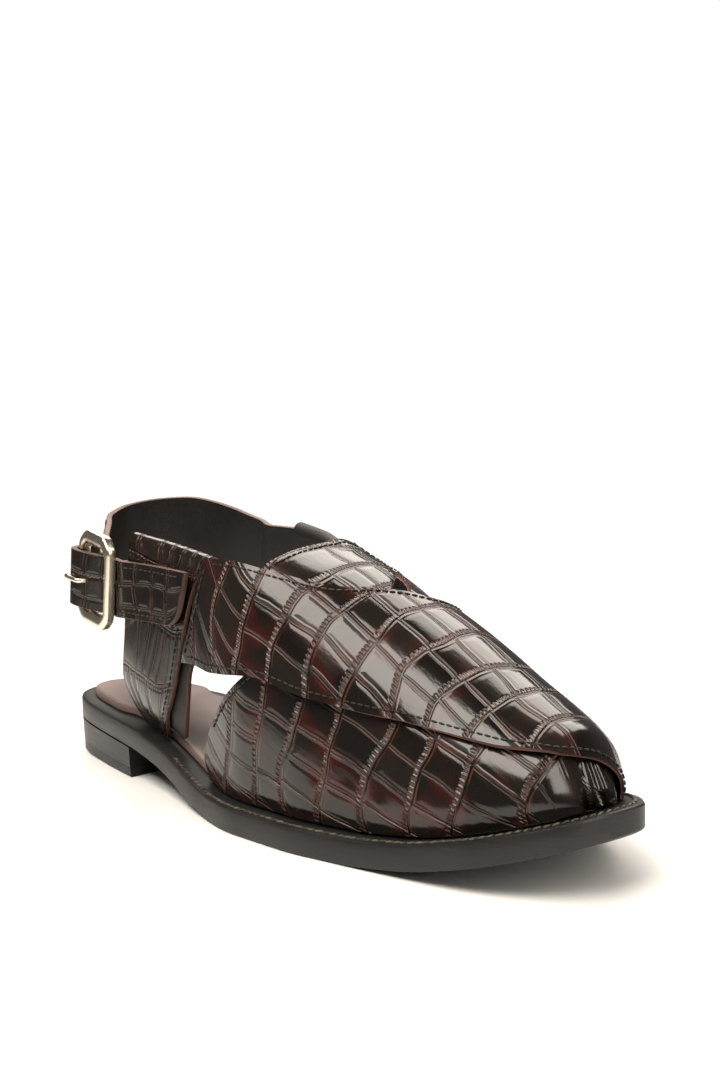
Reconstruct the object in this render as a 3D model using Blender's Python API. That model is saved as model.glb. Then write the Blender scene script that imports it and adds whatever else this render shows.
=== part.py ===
"""Peshawari chappal, one right shoe: crossed leather panels on a welted sole.

The shoe is drawn heel to toe along +X, with its inner side at +Y and up at +Z, in metres.
Every leather panel is cut from one last surface and stands a named distance off it.
"""
import math

import bmesh
import bpy
import numpy as np
from mathutils import Vector
from mathutils.geometry import delaunay_2d_cdt

# Plan of the sole
LENGTH = 0.290
LATERAL_HALF = 0.0510
MEDIAL_HALF = 0.0485
WELT = 0.0055
TOE_WELT = 0.0078

# Heights
SOLE_EDGE = 0.0090
SOLE_BEVEL = 0.0008
HEEL_LIFT = 0.0124
HEEL_BREAST = 0.0660
HEEL_TAPER = 0.0012
TOE_SPRING = 0.0180
INSTEP = 0.0980
TUCK = 0.0025
TUCK_HEIGHT = 0.0110
NOSE = 0.0140
NOSE_FOOT = 0.30

# Leather
CLEARANCE = 0.0003
LAYER_GAP = 0.0009
PANEL_WALL = 0.0018
UPPER_WALL = 0.0020
TOE_THINNING = 0.45
PANEL_RISE = 0.0010
STRAP_WALL = 0.0018
INSOLE_WALL = 0.0034
HEEL_INSOLE_INSET = 0.0060
INSOLE_INSET = 0.0094
INNER_INSOLE_INSET = 0.0124

# Loops, heel strap and buckle
LOOP_RADIUS = 0.0025
HEEL_STRAP_WALL = 0.0022
TAIL_CORNER = 0.0070
BILLET_HEIGHT = 0.0150
BUCKLE_HALF_WIDTH = 0.0124
BUCKLE_HALF_HEIGHT = 0.0186
BUCKLE_SIDE_BAR = 0.0034
BUCKLE_END_BAR = 0.0050
BUCKLE_THICK = 0.0040
BUCKLE_CHAMFER = 0.0046
BUCKLE_LEAN = math.radians(8.0)
BAR_RADIUS = 0.0014
PRONG_RADIUS = 0.0009
STRAP_HALF_AT_BUCKLE = 0.0111

# Mesh fineness
PANEL_STEP = 0.0068
PLAN_POINTS = 56
SPAN = 0.170
FEATHER_ROWS = (0.08, 0.24, 0.50, 0.95)

# Sole plan, one row per station: share of LENGTH, of LATERAL_HALF, of MEDIAL_HALF
OUTLINE = (
    (0.000, 0.000, 0.000),
    (0.012, 0.200, 0.250),
    (0.050, 0.370, 0.460),
    (0.120, 0.490, 0.585),
    (0.240, 0.630, 0.640),
    (0.340, 0.735, 0.610),
    (0.440, 0.875, 0.660),
    (0.540, 0.985, 0.840),
    (0.620, 0.985, 0.970),
    (0.700, 0.925, 0.990),
    (0.780, 0.860, 0.920),
    (0.860, 0.790, 0.770),
    (0.920, 0.680, 0.580),
    (0.965, 0.500, 0.330),
    (0.990, 0.260, 0.140),
    (1.000, 0.000, 0.000),
)

# Underside of the sole, one row per station: share of LENGTH, of HEEL_LIFT, of TOE_SPRING
PROFILE = (
    (0.000, 1.19, 0.00),
    (0.235, 1.00, 0.00),
    (0.300, 0.82, 0.00),
    (0.360, 0.52, 0.00),
    (0.420, 0.20, 0.00),
    (0.480, 0.00, 0.00),
    (0.700, 0.00, 0.00),
    (0.780, 0.00, 0.10),
    (0.860, 0.00, 0.36),
    (0.930, 0.00, 0.67),
    (1.000, 0.00, 1.00),
)

# Sections of the last: share of LENGTH, crown as a share of INSTEP, squareness,
# lateral and medial overhang past the feather as shares of the half widths
SECTIONS = (
    (0.200, 1.600, 3.60, 0.200, 0.190),
    (0.270, 1.600, 3.60, 0.130, 0.200),
    (0.340, 1.550, 3.60, 0.050, 0.230),
    (0.420, 1.320, 3.40, 0.000, 0.200),
    (0.470, 1.130, 3.30, 0.000, 0.140),
    (0.520, 1.010, 3.20, 0.000, 0.070),
    (0.580, 0.938, 2.90, 0.000, 0.010),
    (0.640, 0.856, 2.50, 0.000, 0.000),
    (0.700, 0.775, 2.30, 0.000, 0.000),
    (0.760, 0.692, 2.20, 0.000, 0.000),
    (0.820, 0.607, 2.10, 0.000, 0.000),
    (0.880, 0.532, 2.10, 0.000, 0.000),
    (0.930, 0.468, 2.10, 0.000, 0.000),
    (0.962, 0.420, 2.10, 0.000, 0.000),
    (1.000, 0.365, 2.10, 0.000, 0.000),
)

# Edges of the panels: share of LENGTH along the last, turn round it (0 lateral, 1 medial)
WING_BOTTOM = (
    (0.392, 0.044),
    (0.459, 0.076),
    (0.550, 0.127),
    (0.595, 0.146),
    (0.656, 0.170),
    (0.726, 0.198),
    (0.764, 0.217),
    (0.810, 0.238),
    (0.858, 0.257),
    (0.890, 0.277),
    (0.929, 0.335),
    (0.943, 0.425),
    (0.950, 0.560),
    (0.953, 0.720),
    (0.951, 0.870),
    (0.944, 1.000),
)
PANEL_REAR = (
    (0.424, 1.000),
    (0.436, 0.985),
    (0.490, 0.935),
    (0.550, 0.870),
    (0.598, 0.810),
    (0.638, 0.740),
    (0.662, 0.665),
    (0.672, 0.600),
    (0.669, 0.550),
    (0.658, 0.517),
    (0.640, 0.477),
    (0.623, 0.427),
    (0.605, 0.395),
    (0.578, 0.370),
    (0.532, 0.340),
    (0.495, 0.299),
    (0.441, 0.210),
)
WING_REAR = (
    (0.441, 0.210),
    (0.423, 0.114),
    (0.392, 0.044),
)
VAMP_REAR = (
    (0.432, 0.000),
    (0.433, 0.004),
    (0.442, 0.013),
    (0.473, 0.044),
    (0.537, 0.120),
    (0.580, 0.190),
    (0.615, 0.280),
    (0.642, 0.370),
    (0.660, 0.440),
    (0.664, 0.500),
)
ROLLED_EDGE = (
    (0.664, 0.500),
    (0.645, 0.545),
    (0.612, 0.600),
    (0.575, 0.645),
    (0.535, 0.678),
    (0.500, 0.705),
    (0.472, 0.735),
)
INNER_WING_REAR = (
    (0.472, 0.735),
    (0.440, 0.850),
    (0.410, 0.953),
)
INNER_WING_BOTTOM = (
    (0.410, 0.953),
    (0.450, 0.945),
    (0.530, 0.925),
    (0.610, 0.890),
)
INNER_VAMP_REAR = (
    (0.610, 0.890),
    (0.570, 0.950),
    (0.545, 0.988),
    (0.538, 1.000),
)
TONGUE_EDGE = (
    (0.568, 0.322),
    (0.536, 0.330),
    (0.522, 0.352),
    (0.526, 0.420),
    (0.524, 0.489),
    (0.515, 0.550),
    (0.520, 0.610),
    (0.545, 0.632),
    (0.575, 0.610),
    (0.605, 0.565),
    (0.626, 0.525),
    (0.642, 0.492),
)
TONGUE_ROOT = (
    (0.642, 0.492),
    (0.645, 0.450),
    (0.628, 0.390),
    (0.600, 0.348),
    (0.568, 0.322),
)

# Side straps, one row per height: share of INSTEP, then shares of LENGTH for the rear and
# front edges of the outer leaf and of its lining
LATERAL_STRAP = (
    (0.195, 0.246, 0.306, 0.256, 0.346),
    (0.290, 0.228, 0.326, 0.230, 0.366),
    (0.390, 0.224, 0.346, 0.226, 0.372),
    (0.510, 0.240, 0.361, 0.242, 0.378),
    (0.600, 0.248, 0.370, 0.250, 0.386),
    (0.770, 0.253, 0.388, 0.255, 0.404),
    (0.880, 0.258, 0.403, 0.260, 0.420),
    (1.010, 0.264, 0.434, 0.264, 0.436),
)
MEDIAL_STRAP = (
    (0.195, 0.300, 0.395, 0.310, 0.397),
    (0.290, 0.288, 0.392, 0.290, 0.394),
    (0.390, 0.285, 0.392, 0.287, 0.394),
    (0.510, 0.298, 0.400, 0.300, 0.402),
    (0.600, 0.314, 0.412, 0.316, 0.414),
    (0.770, 0.340, 0.440, 0.342, 0.442),
    (0.880, 0.353, 0.460, 0.353, 0.460),
    (1.010, 0.366, 0.484, 0.366, 0.484),
)
# Tops of the loops as shares of INSTEP, at the rear and the front edge
LATERAL_TOP = (1.012, 0.955)
MEDIAL_TOP = (1.024, 0.985)

# Free run of the heel strap round the heel, from the inner side: lower edge, then upper
# edge, each as shares of LENGTH, of MEDIAL_HALF and of INSTEP
HEEL_RUN = (
    (0.262, 0.650, 0.700, 0.265, 0.628, 1.044),
    (0.186, 0.680, 0.650, 0.193, 0.630, 1.076),
    (0.103, 0.635, 0.630, 0.117, 0.557, 1.087),
    (0.045, 0.454, 0.620, 0.066, 0.392, 1.077),
    (0.024, 0.186, 0.620, 0.047, 0.165, 1.056),
    (0.033, -0.103, 0.635, 0.061, -0.062, 1.030),
    (0.066, -0.309, 0.655, 0.100, -0.247, 1.000),
    (0.107, -0.443, 0.672, 0.135, -0.412, 0.975),
)
# The strap at the buckle, in the buckle's own axes: share of its half width forward and
# share of its thickness outward
BUCKLE_RUN = (
    (-1.420, -3.000),
    (-1.290, -2.150),
    (-1.210, -1.250),
    (-1.225, -0.375),
    (-1.185, 0.325),
    (-1.080, 0.790),
    (-0.920, 0.930),
    (-0.690, 0.880),
    (-0.450, 0.700),
    (-0.160, 0.375),
    (0.040, 0.100),
    (0.280, -0.275),
    (0.520, -0.650),
    (0.770, -0.910),
    (1.050, -0.960),
)
HOLE_ROW = 8
# The tail, which lies on the lateral strap: shares of LENGTH and of INSTEP for the lower
# edge, then for the upper edge
TAIL_RUN = (
    (0.285, 0.680, 0.288, 0.898),
    (0.325, 0.679, 0.332, 0.895),
    (0.360, 0.678, 0.375, 0.891),
    (0.380, 0.678, 0.402, 0.888),
)
BUCKLE_STATION = 0.2103
BUCKLE_SIDE = -0.831
BUCKLE_HEIGHT = 0.817
BUCKLE_HEADING = math.radians(-7.0)


def smooth(xs, ys, x):
    """Monotone cubic through a short table, flat where the table is flat."""
    xs = np.asarray(xs, float)
    ys = np.asarray(ys, float)
    step = np.diff(xs)
    slope = np.diff(ys) / step
    tangent = np.zeros(len(xs))
    tangent[0] = slope[0]
    tangent[-1] = slope[-1]
    for k in range(1, len(xs) - 1):
        if slope[k - 1] * slope[k] > 0:
            before = 2 * step[k] + step[k - 1]
            after = step[k] + 2 * step[k - 1]
            tangent[k] = (before + after) / (before / slope[k - 1] + after / slope[k])
    x = np.clip(np.asarray(x, float), xs[0], xs[-1])
    k = np.clip(np.searchsorted(xs, x, side="right") - 1, 0, len(xs) - 2)
    t = (x - xs[k]) / step[k]
    rise = ys[k + 1] - ys[k]
    return (
        ys[k]
        + rise * (3 * t**2 - 2 * t**3)
        + step[k] * tangent[k] * (t**3 - 2 * t**2 + t)
        + step[k] * tangent[k + 1] * (t**3 - t**2)
    )


def column(table, index):
    """One column of a table as an array."""
    return np.array([row[index] for row in table])


def side_curve(side, inset, count=400):
    """One side of the sole's plan from heel to toe, set in by inset; side is -1 or +1."""
    half = LATERAL_HALF if side < 0 else MEDIAL_HALF
    x_rows = column(OUTLINE, 0) * LENGTH
    y_rows = column(OUTLINE, 1 if side < 0 else 2) * half
    run = np.concatenate([[0.0], np.cumsum(np.hypot(np.diff(x_rows), np.diff(y_rows)))])
    at = np.linspace(0.0, run[-1], count)
    x = smooth(run, x_rows, at)
    y = smooth(run, y_rows, at)
    if inset:
        toe = np.clip((x / LENGTH - 0.85) / 0.15, 0.0, 1.0) ** 2
        inset = inset * (1.0 + (TOE_WELT / WELT - 1.0) * toe)
        along_x = np.gradient(x)
        along_y = np.gradient(y)
        length = np.hypot(along_x, along_y)
        x, y = x + along_y / length * inset, y - along_x / length * inset
        keep = y > 0
        x = np.concatenate([[x[keep][0]], x[keep], [x[keep][-1]]])
        y = np.concatenate([[0.0], y[keep], [0.0]])
    return x, side * y


def sole_bottom(x):
    """Height of the sole's underside at x."""
    share = np.asarray(x, float) / LENGTH
    station = column(PROFILE, 0)
    heel = smooth(station, column(PROFILE, 1), share) * HEEL_LIFT
    toe = smooth(station, column(PROFILE, 2), share) * TOE_SPRING
    return heel + toe


def sole_top(x):
    """Height of the sole's upper face at x."""
    return sole_bottom(x) + SOLE_EDGE


def feather_curve(side, tip):
    """Edge where the last meets the sole, with its toe rounded off evenly up to the tip."""
    x, y = side_curve(side, WELT)
    width = np.abs(y)
    knots = np.array([0.900, 0.925, 0.950]) * LENGTH
    squares = np.append(np.interp(knots, x, width) ** 2, 0.0)
    knots = np.append(knots, tip)
    even = np.linspace(knots[0], tip, 160)
    round_toe = np.sqrt(np.clip(smooth(knots, squares, even), 0.0, None))
    keep = x < knots[0]
    return np.concatenate([x[keep], even]), np.concatenate([width[keep], round_toe])


TIP = min(side_curve(side, WELT)[0][-1] for side in (-1, 1))
FEATHER = {side: feather_curve(side, TIP) for side in (-1, 1)}
NOSE_START = TIP - NOSE
NOSE_TURN = math.acos(NOSE_FOOT)
RUN_END = NOSE_START + NOSE * NOSE_TURN


def section(x):
    """Feather and body half widths, feather height, crown and squareness at x."""
    share = x / LENGTH
    station = column(SECTIONS, 0)
    values = {}
    for side, half, index in ((-1, LATERAL_HALF, 3), (1, MEDIAL_HALF, 4)):
        feather = np.interp(x, *FEATHER[side])
        over = smooth(station, column(SECTIONS, index), share) * half
        values[side] = (feather, over)
    crown = smooth(station, column(SECTIONS, 1), share) * INSTEP
    square = smooth(station, column(SECTIONS, 2), share)
    return values, sole_top(x) + CLEARANCE, crown, square


def last_point(run, turn):
    """Point of the last's surface; run is measured along it and past NOSE_START round the nose."""
    run = np.asarray(run, float)
    turn = np.asarray(turn, float)
    angle = np.clip((run - NOSE_START) / NOSE, 0.0, NOSE_TURN)
    x = np.minimum(run, NOSE_START) + NOSE * np.sin(angle)
    nose = (np.cos(angle) - NOSE_FOOT) / (1.0 - NOSE_FOOT)
    values, floor, crown, square = section(x)
    shape = 2.0 / square
    side = np.cos(math.pi * turn)
    up = np.clip(np.sin(math.pi * turn), 0.0, 1.0) ** shape
    z = floor + (crown - floor) * nose * up
    out = np.sign(side) * np.abs(side) ** shape
    width = np.zeros(np.broadcast(run, turn).shape)
    middle = np.zeros_like(width)
    low, high = values[-1], values[1]
    full = {s: values[s][0] + np.minimum(TUCK, 0.12 * values[s][0]) + values[s][1] for s in (-1, 1)}
    middle = 0.5 * (full[1] - full[-1])
    width = 0.5 * (full[1] + full[-1])
    y = middle - width * out
    for s in (-1, 1):
        pull = full[s] - values[s][0]
        height = TUCK_HEIGHT + 3.2 * values[s][1]
        near = np.clip(1.0 - (z - floor) / height, 0.0, 1.0) ** 2
        toward = np.where(np.sign(y - middle) == s, 1.0, 0.0)
        y = y - s * pull * near * toward
    return np.stack(np.broadcast_arrays(x, y, z), -1)


def last_normal(run, turn):
    """Outward normal of the last's surface."""
    step = 0.0006
    run = np.minimum(np.asarray(run, float), RUN_END - 2.5 * step)
    turn = np.clip(np.asarray(turn, float), 0.004, 0.996)
    along = last_point(run + step, turn) - last_point(run - step, turn)
    around = last_point(run, turn + 0.003) - last_point(run, turn - 0.003)
    normal = np.cross(along, around)
    normal /= np.linalg.norm(normal, axis=-1, keepdims=True)
    return normal


def shell_point(run, turn, offset):
    """Point at a distance off the last, outward when offset is positive."""
    point = last_point(run, turn) + last_normal(run, turn) * np.asarray(offset, float)[..., None]
    low = sole_top(point[..., 0]) + CLEARANCE
    point[..., 2] = np.maximum(point[..., 2], low)
    return point


def turn_at(x, z, side):
    """Turn round the last where its side stands at height z."""
    _, floor, crown, square = section(np.asarray(x, float))
    rise = np.clip((z - floor) / (crown - floor), 0.0, 1.0)
    turn = np.arcsin(rise ** (square / 2.0)) / math.pi
    return turn if side < 0 else 1.0 - turn


def wall_point(x, z, side, offset):
    """Point on the last's side wall at x and height z, a distance off it."""
    return shell_point(x, turn_at(x, z, side), offset)


def trace(rows, step):
    """Smooth curve through the rows of an edge table, as points in the last's own run and turn."""
    points = [Vector((row[0] * LENGTH, row[1] * SPAN)) for row in rows]
    ends = [points[0] * 2 - points[1]] + points + [points[-1] * 2 - points[-2]]
    curve = []
    for before, start, stop, after in zip(ends, ends[1:], ends[2:], ends[3:]):
        count = max(1, round((stop - start).length / step))
        for k in range(count):
            t = k / count
            curve.append(
                0.5
                * (
                    2 * start
                    + (stop - before) * t
                    + (2 * before - 5 * start + 4 * stop - after) * t**2
                    + (3 * start - before - 3 * stop + after) * t**3
                )
            )
    curve.append(points[-1])
    return curve


def straight(start, stop, step):
    """Straight edge between two places in run and turn, without its last point."""
    start = Vector(start)
    stop = Vector(stop)
    count = max(1, round((stop - start).length / step))
    return [start.lerp(stop, k / count) for k in range(count)]


def tidy_loop(points):
    """Closed loop without repeated points and with turns kept inside the last."""
    loop = []
    for point in points:
        place = Vector((point.x, min(max(point.y, 0.0), SPAN)))
        if not loop or (place - loop[-1]).length > 1e-5:
            loop.append(place)
    if (loop[0] - loop[-1]).length < 1e-5:
        loop.pop()
    return loop


def inside(point, loop):
    """Whether a point lies inside a closed loop, and its distance from the loop."""
    hit = False
    near = 1.0
    for a, b in zip(loop, loop[1:] + loop[:1]):
        if (a.y > point.y) != (b.y > point.y):
            if point.x < a.x + (point.y - a.y) / (b.y - a.y) * (b.x - a.x):
                hit = not hit
        edge = b - a
        t = min(max((point - a).dot(edge) / edge.length_squared, 0.0), 1.0)
        near = min(near, (point - a - edge * t).length)
    return hit, near


def material(name, colour, roughness, metallic=0.0):
    """Plain Principled material."""
    made = bpy.data.materials.new(name)
    made.use_nodes = True
    shader = made.node_tree.nodes["Principled BSDF"]
    shader.inputs["Base Color"].default_value = (*colour, 1.0)
    shader.inputs["Roughness"].default_value = roughness
    shader.inputs["Metallic"].default_value = metallic
    return made


def new_object(name, vertices, faces, finish, sharp=40.0):
    """Mesh object with its doubles merged and its faces turned outward."""
    mesh = bpy.data.meshes.new(name)
    mesh.from_pydata([tuple(v) for v in vertices], [], [tuple(f) for f in faces])
    work = bmesh.new()
    work.from_mesh(mesh)
    bmesh.ops.remove_doubles(work, verts=work.verts, dist=2e-6)
    bmesh.ops.dissolve_degenerate(work, edges=work.edges, dist=1e-6)
    bmesh.ops.recalc_face_normals(work, faces=work.faces)
    if work.calc_volume(signed=True) < 0:
        bmesh.ops.reverse_faces(work, faces=work.faces)
    work.to_mesh(mesh)
    work.free()
    mesh.materials.append(finish)
    mesh.shade_smooth()
    mesh.set_sharp_from_angle(angle=math.radians(sharp))
    made = bpy.data.objects.new(name, mesh)
    PARTS.objects.link(made)
    return made


def panel_rows():
    """Turns of the rows of panel points, closer where the wall rises from the feather."""
    start = [share * PANEL_STEP for share in FEATHER_ROWS]
    middle = list(np.arange(start[-1] + PANEL_STEP, SPAN - start[-1] - 0.5 * PANEL_STEP, PANEL_STEP * 0.87))
    return start + middle + [SPAN - y for y in reversed(start)]


def panel(name, loop, outer, inner, finish):
    """Leather panel: the part of the last inside a loop, between two distances off the surface."""
    loop = tidy_loop(loop)
    low_x = min(p.x for p in loop)
    high_x = max(p.x for p in loop)
    places = list(loop)
    for row, y in enumerate(PANEL_ROWS):
        x = low_x + (0.5 * PANEL_STEP if row % 2 else 0.0)
        edge = min(y, SPAN - y)
        while x < high_x:
            spot = Vector((x, y))
            hit, near = inside(spot, loop)
            if hit and near > min(0.45 * PANEL_STEP, 0.7 * edge):
                places.append(spot)
            x += PANEL_STEP
    border = list(range(len(loop)))
    flat, _, triangles, origin, _, _ = delaunay_2d_cdt(places, [], [border], 1, 1e-7)
    run = np.array([p.x for p in flat])
    turn = np.array([p.y for p in flat]) / SPAN
    count = len(flat)
    thin = 1.0 - TOE_THINNING * np.clip((run / LENGTH - 0.90) / 0.06, 0.0, 1.0)
    depth = outer - (outer - inner) * thin
    vertices = np.concatenate([shell_point(run, turn, outer), shell_point(run, turn, depth)])
    faces = [tuple(t) for t in triangles] + [tuple(k + count for k in reversed(t)) for t in triangles]
    uses = {}
    for t in triangles:
        for a, b in zip(t, t[1:] + t[:1]):
            uses[(a, b)] = True
    for a, b in uses:
        if (b, a) not in uses:
            faces.append((b, a, a + count, b + count))
    return new_object(name, vertices, faces, finish)


def sheet(name, grid, wall, finish, hole=None):
    """Strap: a grid of points on its middle surface, thickened evenly on both sides.

    A hole, when given, is the row and column of the one cell that is left open.
    """
    grid = np.asarray(grid, float)
    rows, cols = grid.shape[:2]
    along = np.gradient(grid, axis=0)
    across = np.gradient(grid, axis=1)
    normal = np.cross(along, across)
    normal /= np.linalg.norm(normal, axis=-1, keepdims=True)
    layers = (grid + normal * wall * 0.5, grid - normal * wall * 0.5)
    vertices = np.concatenate([layer.reshape(-1, 3) for layer in layers])
    size = rows * cols
    faces = []
    for i in range(rows - 1):
        for j in range(cols - 1):
            a = i * cols + j
            quad = (a, a + cols, a + cols + 1, a + 1)
            if hole == (i, j):
                for near, far in zip(quad, quad[1:] + quad[:1]):
                    faces.append((far, near, near + size, far + size))
                continue
            faces.append(quad)
            faces.append(tuple(k + size for k in reversed(quad)))
    rim = [i * cols for i in range(rows)]
    rim += [(rows - 1) * cols + j for j in range(1, cols)]
    rim += [i * cols + cols - 1 for i in range(rows - 2, -1, -1)]
    rim += [j for j in range(cols - 2, 0, -1)]
    for a, b in zip(rim, rim[1:] + rim[:1]):
        faces.append((a, b, b + size, a + size))
    return new_object(name, vertices, faces, finish)


def plan_side(side, inset, end):
    """Points of one side of the plan up to x = end, evenly spread."""
    x, y = side_curve(side, inset)
    keep = x <= end
    x = np.append(x[keep], min(end, x[-1]))
    y = np.append(y[keep], np.interp(min(end, x[-1]), *side_curve(side, inset)))
    run = np.concatenate([[0.0], np.cumsum(np.hypot(np.diff(x), np.diff(y)))])
    at = np.linspace(0.0, run[-1], PLAN_POINTS)
    return np.interp(at, run, x), np.interp(at, run, y)


def slab(name, layers, end, finish):
    """Solid between plan curves; each layer is an inset (or a function of x) and a height."""
    vertices = []
    for inset, height in layers:
        for side in (-1, 1):
            x, y = plan_side(side, inset, end)
            vertices += list(np.stack([x, y, height(x)], -1))
    count = PLAN_POINTS
    faces = []
    ladders = ((0, False), ((len(layers) - 1) * 2 * count, True))
    for start, upward in ladders:
        for k in range(count - 1):
            quad = (start + k, start + k + 1, start + count + k + 1, start + count + k)
            faces.append(quad if upward else tuple(reversed(quad)))
    for level in range(len(layers) - 1):
        base = level * 2 * count
        above = base + 2 * count
        for k in range(count - 1):
            faces.append((base + k, base + k + 1, above + k + 1, above + k))
            faces.append((base + count + k + 1, base + count + k, above + count + k, above + count + k + 1))
        last = count - 1
        faces.append((base + last, base + count + last, above + count + last, above + last))
        faces.append((base + count, base, above, above + count))
    return new_object(name, vertices, faces, finish)


def outsole(finish):
    """Sole with its bevelled tread edge, flat forefoot and rounded top edge."""
    layers = (
        (SOLE_BEVEL, sole_bottom),
        (0.0, lambda x: sole_bottom(x) + SOLE_BEVEL),
        (0.0, lambda x: sole_top(x) - SOLE_BEVEL),
        (SOLE_BEVEL, sole_top),
    )
    return slab("outsole", layers, LENGTH, finish)


def heel(finish):
    """Stacked heel under the seat, a little narrower at the ground."""
    layers = (
        (HEEL_TAPER, lambda x: 0.0 * x),
        (HEEL_TAPER * 0.5, lambda x: 0.0 * x + SOLE_BEVEL),
        (0.0001, lambda x: sole_bottom(x) - CLEARANCE),
    )
    return slab("heel", layers, HEEL_BREAST, finish)


def insole(finish):
    """Padded sock, wider at the heel seat than between the panels."""

    def set_in(extra):
        def curve(side):
            x, y = side_curve(side, HEEL_INSOLE_INSET + extra)
            inset = INSOLE_INSET if side < 0 else INNER_INSOLE_INSET
            inner_x, inner_y = side_curve(side, inset + extra)
            mix = smooth((0.0, 0.150, 0.205, 1.0), (0.0, 0.0, 1.0, 1.0), x / LENGTH)
            return x, y + (np.interp(x, inner_x, inner_y) - y) * mix

        return curve

    vertices = []
    layers = (
        (0.0, CLEARANCE),
        (0.0, INSOLE_WALL - 0.0008),
        (0.0008, INSOLE_WALL),
    )
    count = PLAN_POINTS
    for extra, lift in layers:
        for side in (-1, 1):
            x, y = set_in(extra)(side)
            end = side_curve(side, INNER_INSOLE_INSET + extra)[0][-1]
            keep = x < end
            x = np.append(x[keep], end)
            y = np.append(y[keep], 0.0)
            run = np.concatenate([[0.0], np.cumsum(np.hypot(np.diff(x), np.diff(y)))])
            at = np.linspace(0.0, run[-1], count)
            x, y = np.interp(at, run, x), np.interp(at, run, y)
            vertices += list(np.stack([x, y, sole_top(x) + lift], -1))
    faces = []
    for start, upward in ((0, False), ((len(layers) - 1) * 2 * count, True)):
        for k in range(count - 1):
            quad = (start + k, start + k + 1, start + count + k + 1, start + count + k)
            faces.append(quad if upward else tuple(reversed(quad)))
    for level in range(len(layers) - 1):
        base = level * 2 * count
        above = base + 2 * count
        for k in range(count - 1):
            faces.append((base + k, base + k + 1, above + k + 1, above + k))
            faces.append((base + count + k + 1, base + count + k, above + count + k, above + count + k + 1))
        faces.append((base + count, base, above, above + count))
        last = count - 1
        faces.append((base + last, base + count + last, above + count + last, above + last))
    return new_object("insole", vertices, faces, finish)


UPPER_OUTER = PANEL_RISE - PANEL_WALL - LAYER_GAP
STRAP_OUTER = UPPER_OUTER
SLOT_MIDDLE = -0.5 * STRAP_WALL - LOOP_RADIUS


def upper(finish):
    """Under layer: vamp to the sole all round the forefoot, with the wing of the inner side."""
    step = PANEL_STEP
    loop = trace(VAMP_REAR, step)
    loop += trace(ROLLED_EDGE, step)
    loop += trace(INNER_WING_REAR, step)
    loop += trace(INNER_WING_BOTTOM, step)
    loop += trace(INNER_VAMP_REAR, step)
    end = RUN_END - 0.0008
    start = INNER_VAMP_REAR[-1][0] * LENGTH
    loop += straight((start, SPAN), (end, SPAN), step)
    loop += straight((end, SPAN), (end, 0.0), 2.5 * step)
    loop += straight((end, 0.0), (VAMP_REAR[0][0] * LENGTH, 0.0), step)
    return panel("upper", loop, UPPER_OUTER, UPPER_OUTER - UPPER_WALL, finish)


def cross_panel(finish):
    """Top panel that crosses the foot from the outer wing to the inner side of the sole."""
    step = PANEL_STEP
    loop = trace(WING_BOTTOM, step)
    feather_front = WING_BOTTOM[-1][0] * LENGTH
    feather_rear = PANEL_REAR[0][0] * LENGTH
    loop += straight((feather_front, SPAN), (feather_rear, SPAN), step)
    loop += trace(PANEL_REAR, step)
    loop += trace(WING_REAR, step)
    return panel("cross_panel", loop, PANEL_RISE, PANEL_RISE - PANEL_WALL, finish)


def tongue(finish):
    """Rounded lobe at the throat, in the same layer as the upper and under the cross panel."""
    loop = trace(TONGUE_EDGE, PANEL_STEP * 0.7) + trace(TONGUE_ROOT, PANEL_STEP)
    return panel("tongue", loop, UPPER_OUTER, UPPER_OUTER - UPPER_WALL, finish)


def side_strap(name, side, rows, tops, outer, finish):
    """Upright strap folded over at its top into a loop, with its lining inside."""
    height = column(rows, 0) * INSTEP
    edges = [column(rows, k) * LENGTH for k in range(1, 5)]
    across = 6
    levels = 9
    turns = 5
    top_low = height[0]
    grid = []
    for i in range(across + 1):
        s = i / across
        line = []
        top = (tops[0] * (1 - s) + tops[1] * s) * INSTEP - 0.5 * STRAP_WALL
        bend = top - LOOP_RADIUS
        middle = outer - 0.5 * STRAP_WALL

        def place(z, leaf, offset):
            look = top_low + (z - top_low) * (height[-1] - top_low) / (top - top_low)
            rear = smooth(height, edges[2 * leaf], min(look, height[-1]))
            front = smooth(height, edges[2 * leaf + 1], min(look, height[-1]))
            x = float(rear + (front - rear) * s)
            low = float(sole_top(x)) + CLEARANCE
            if leaf:
                low += INSOLE_WALL + CLEARANCE
            at = max(z, low + 0.0001)
            return wall_point(x, at, side, offset)

        for k in range(levels):
            line.append(place(top_low + (bend - top_low) * k / (levels - 1), 0, middle))
        for k in range(1, turns):
            angle = math.pi * k / turns
            z = bend + LOOP_RADIUS * math.sin(angle)
            base = place(bend, 0, middle) * (1 - k / turns) + place(bend, 1, middle) * (k / turns)
            inward = place(bend, 0, middle - LOOP_RADIUS) - place(bend, 0, middle)
            point = base + inward * (1 - math.cos(angle))
            point[2] = base[2] + z - bend
            line.append(point)
        for k in range(levels):
            t = k / (levels - 1)
            z = bend + (top_low - bend) * t
            gap = 2 * LOOP_RADIUS
            close = STRAP_WALL + 2 * CLEARANCE
            ease = smooth((0.0, 0.35, 0.62, 1.0), (0.0, 0.0, 1.0, 1.0), t)
            line.append(place(z, 1, middle - gap + (gap - close) * float(ease)))
        grid.append(line)
    return sheet(name, grid, STRAP_WALL, finish)


def loop_top(x, rows, tops):
    """Height of a loop's ridge at x."""
    rear = rows[-1][1] * LENGTH
    front = rows[-1][2] * LENGTH
    return np.interp(x, (rear, front), (tops[0] * INSTEP, tops[1] * INSTEP))


def spread(rows, count):
    """Even samples of a smooth curve through the rows of a list of points."""
    rows = np.asarray(rows, float)
    run = np.concatenate([[0.0], np.cumsum(np.linalg.norm(np.diff(rows[:, :3], axis=0), axis=1))])
    at = np.linspace(0.0, run[-1], count)
    return np.stack([smooth(run, rows[:, k], at) for k in range(rows.shape[1])], -1)


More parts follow.
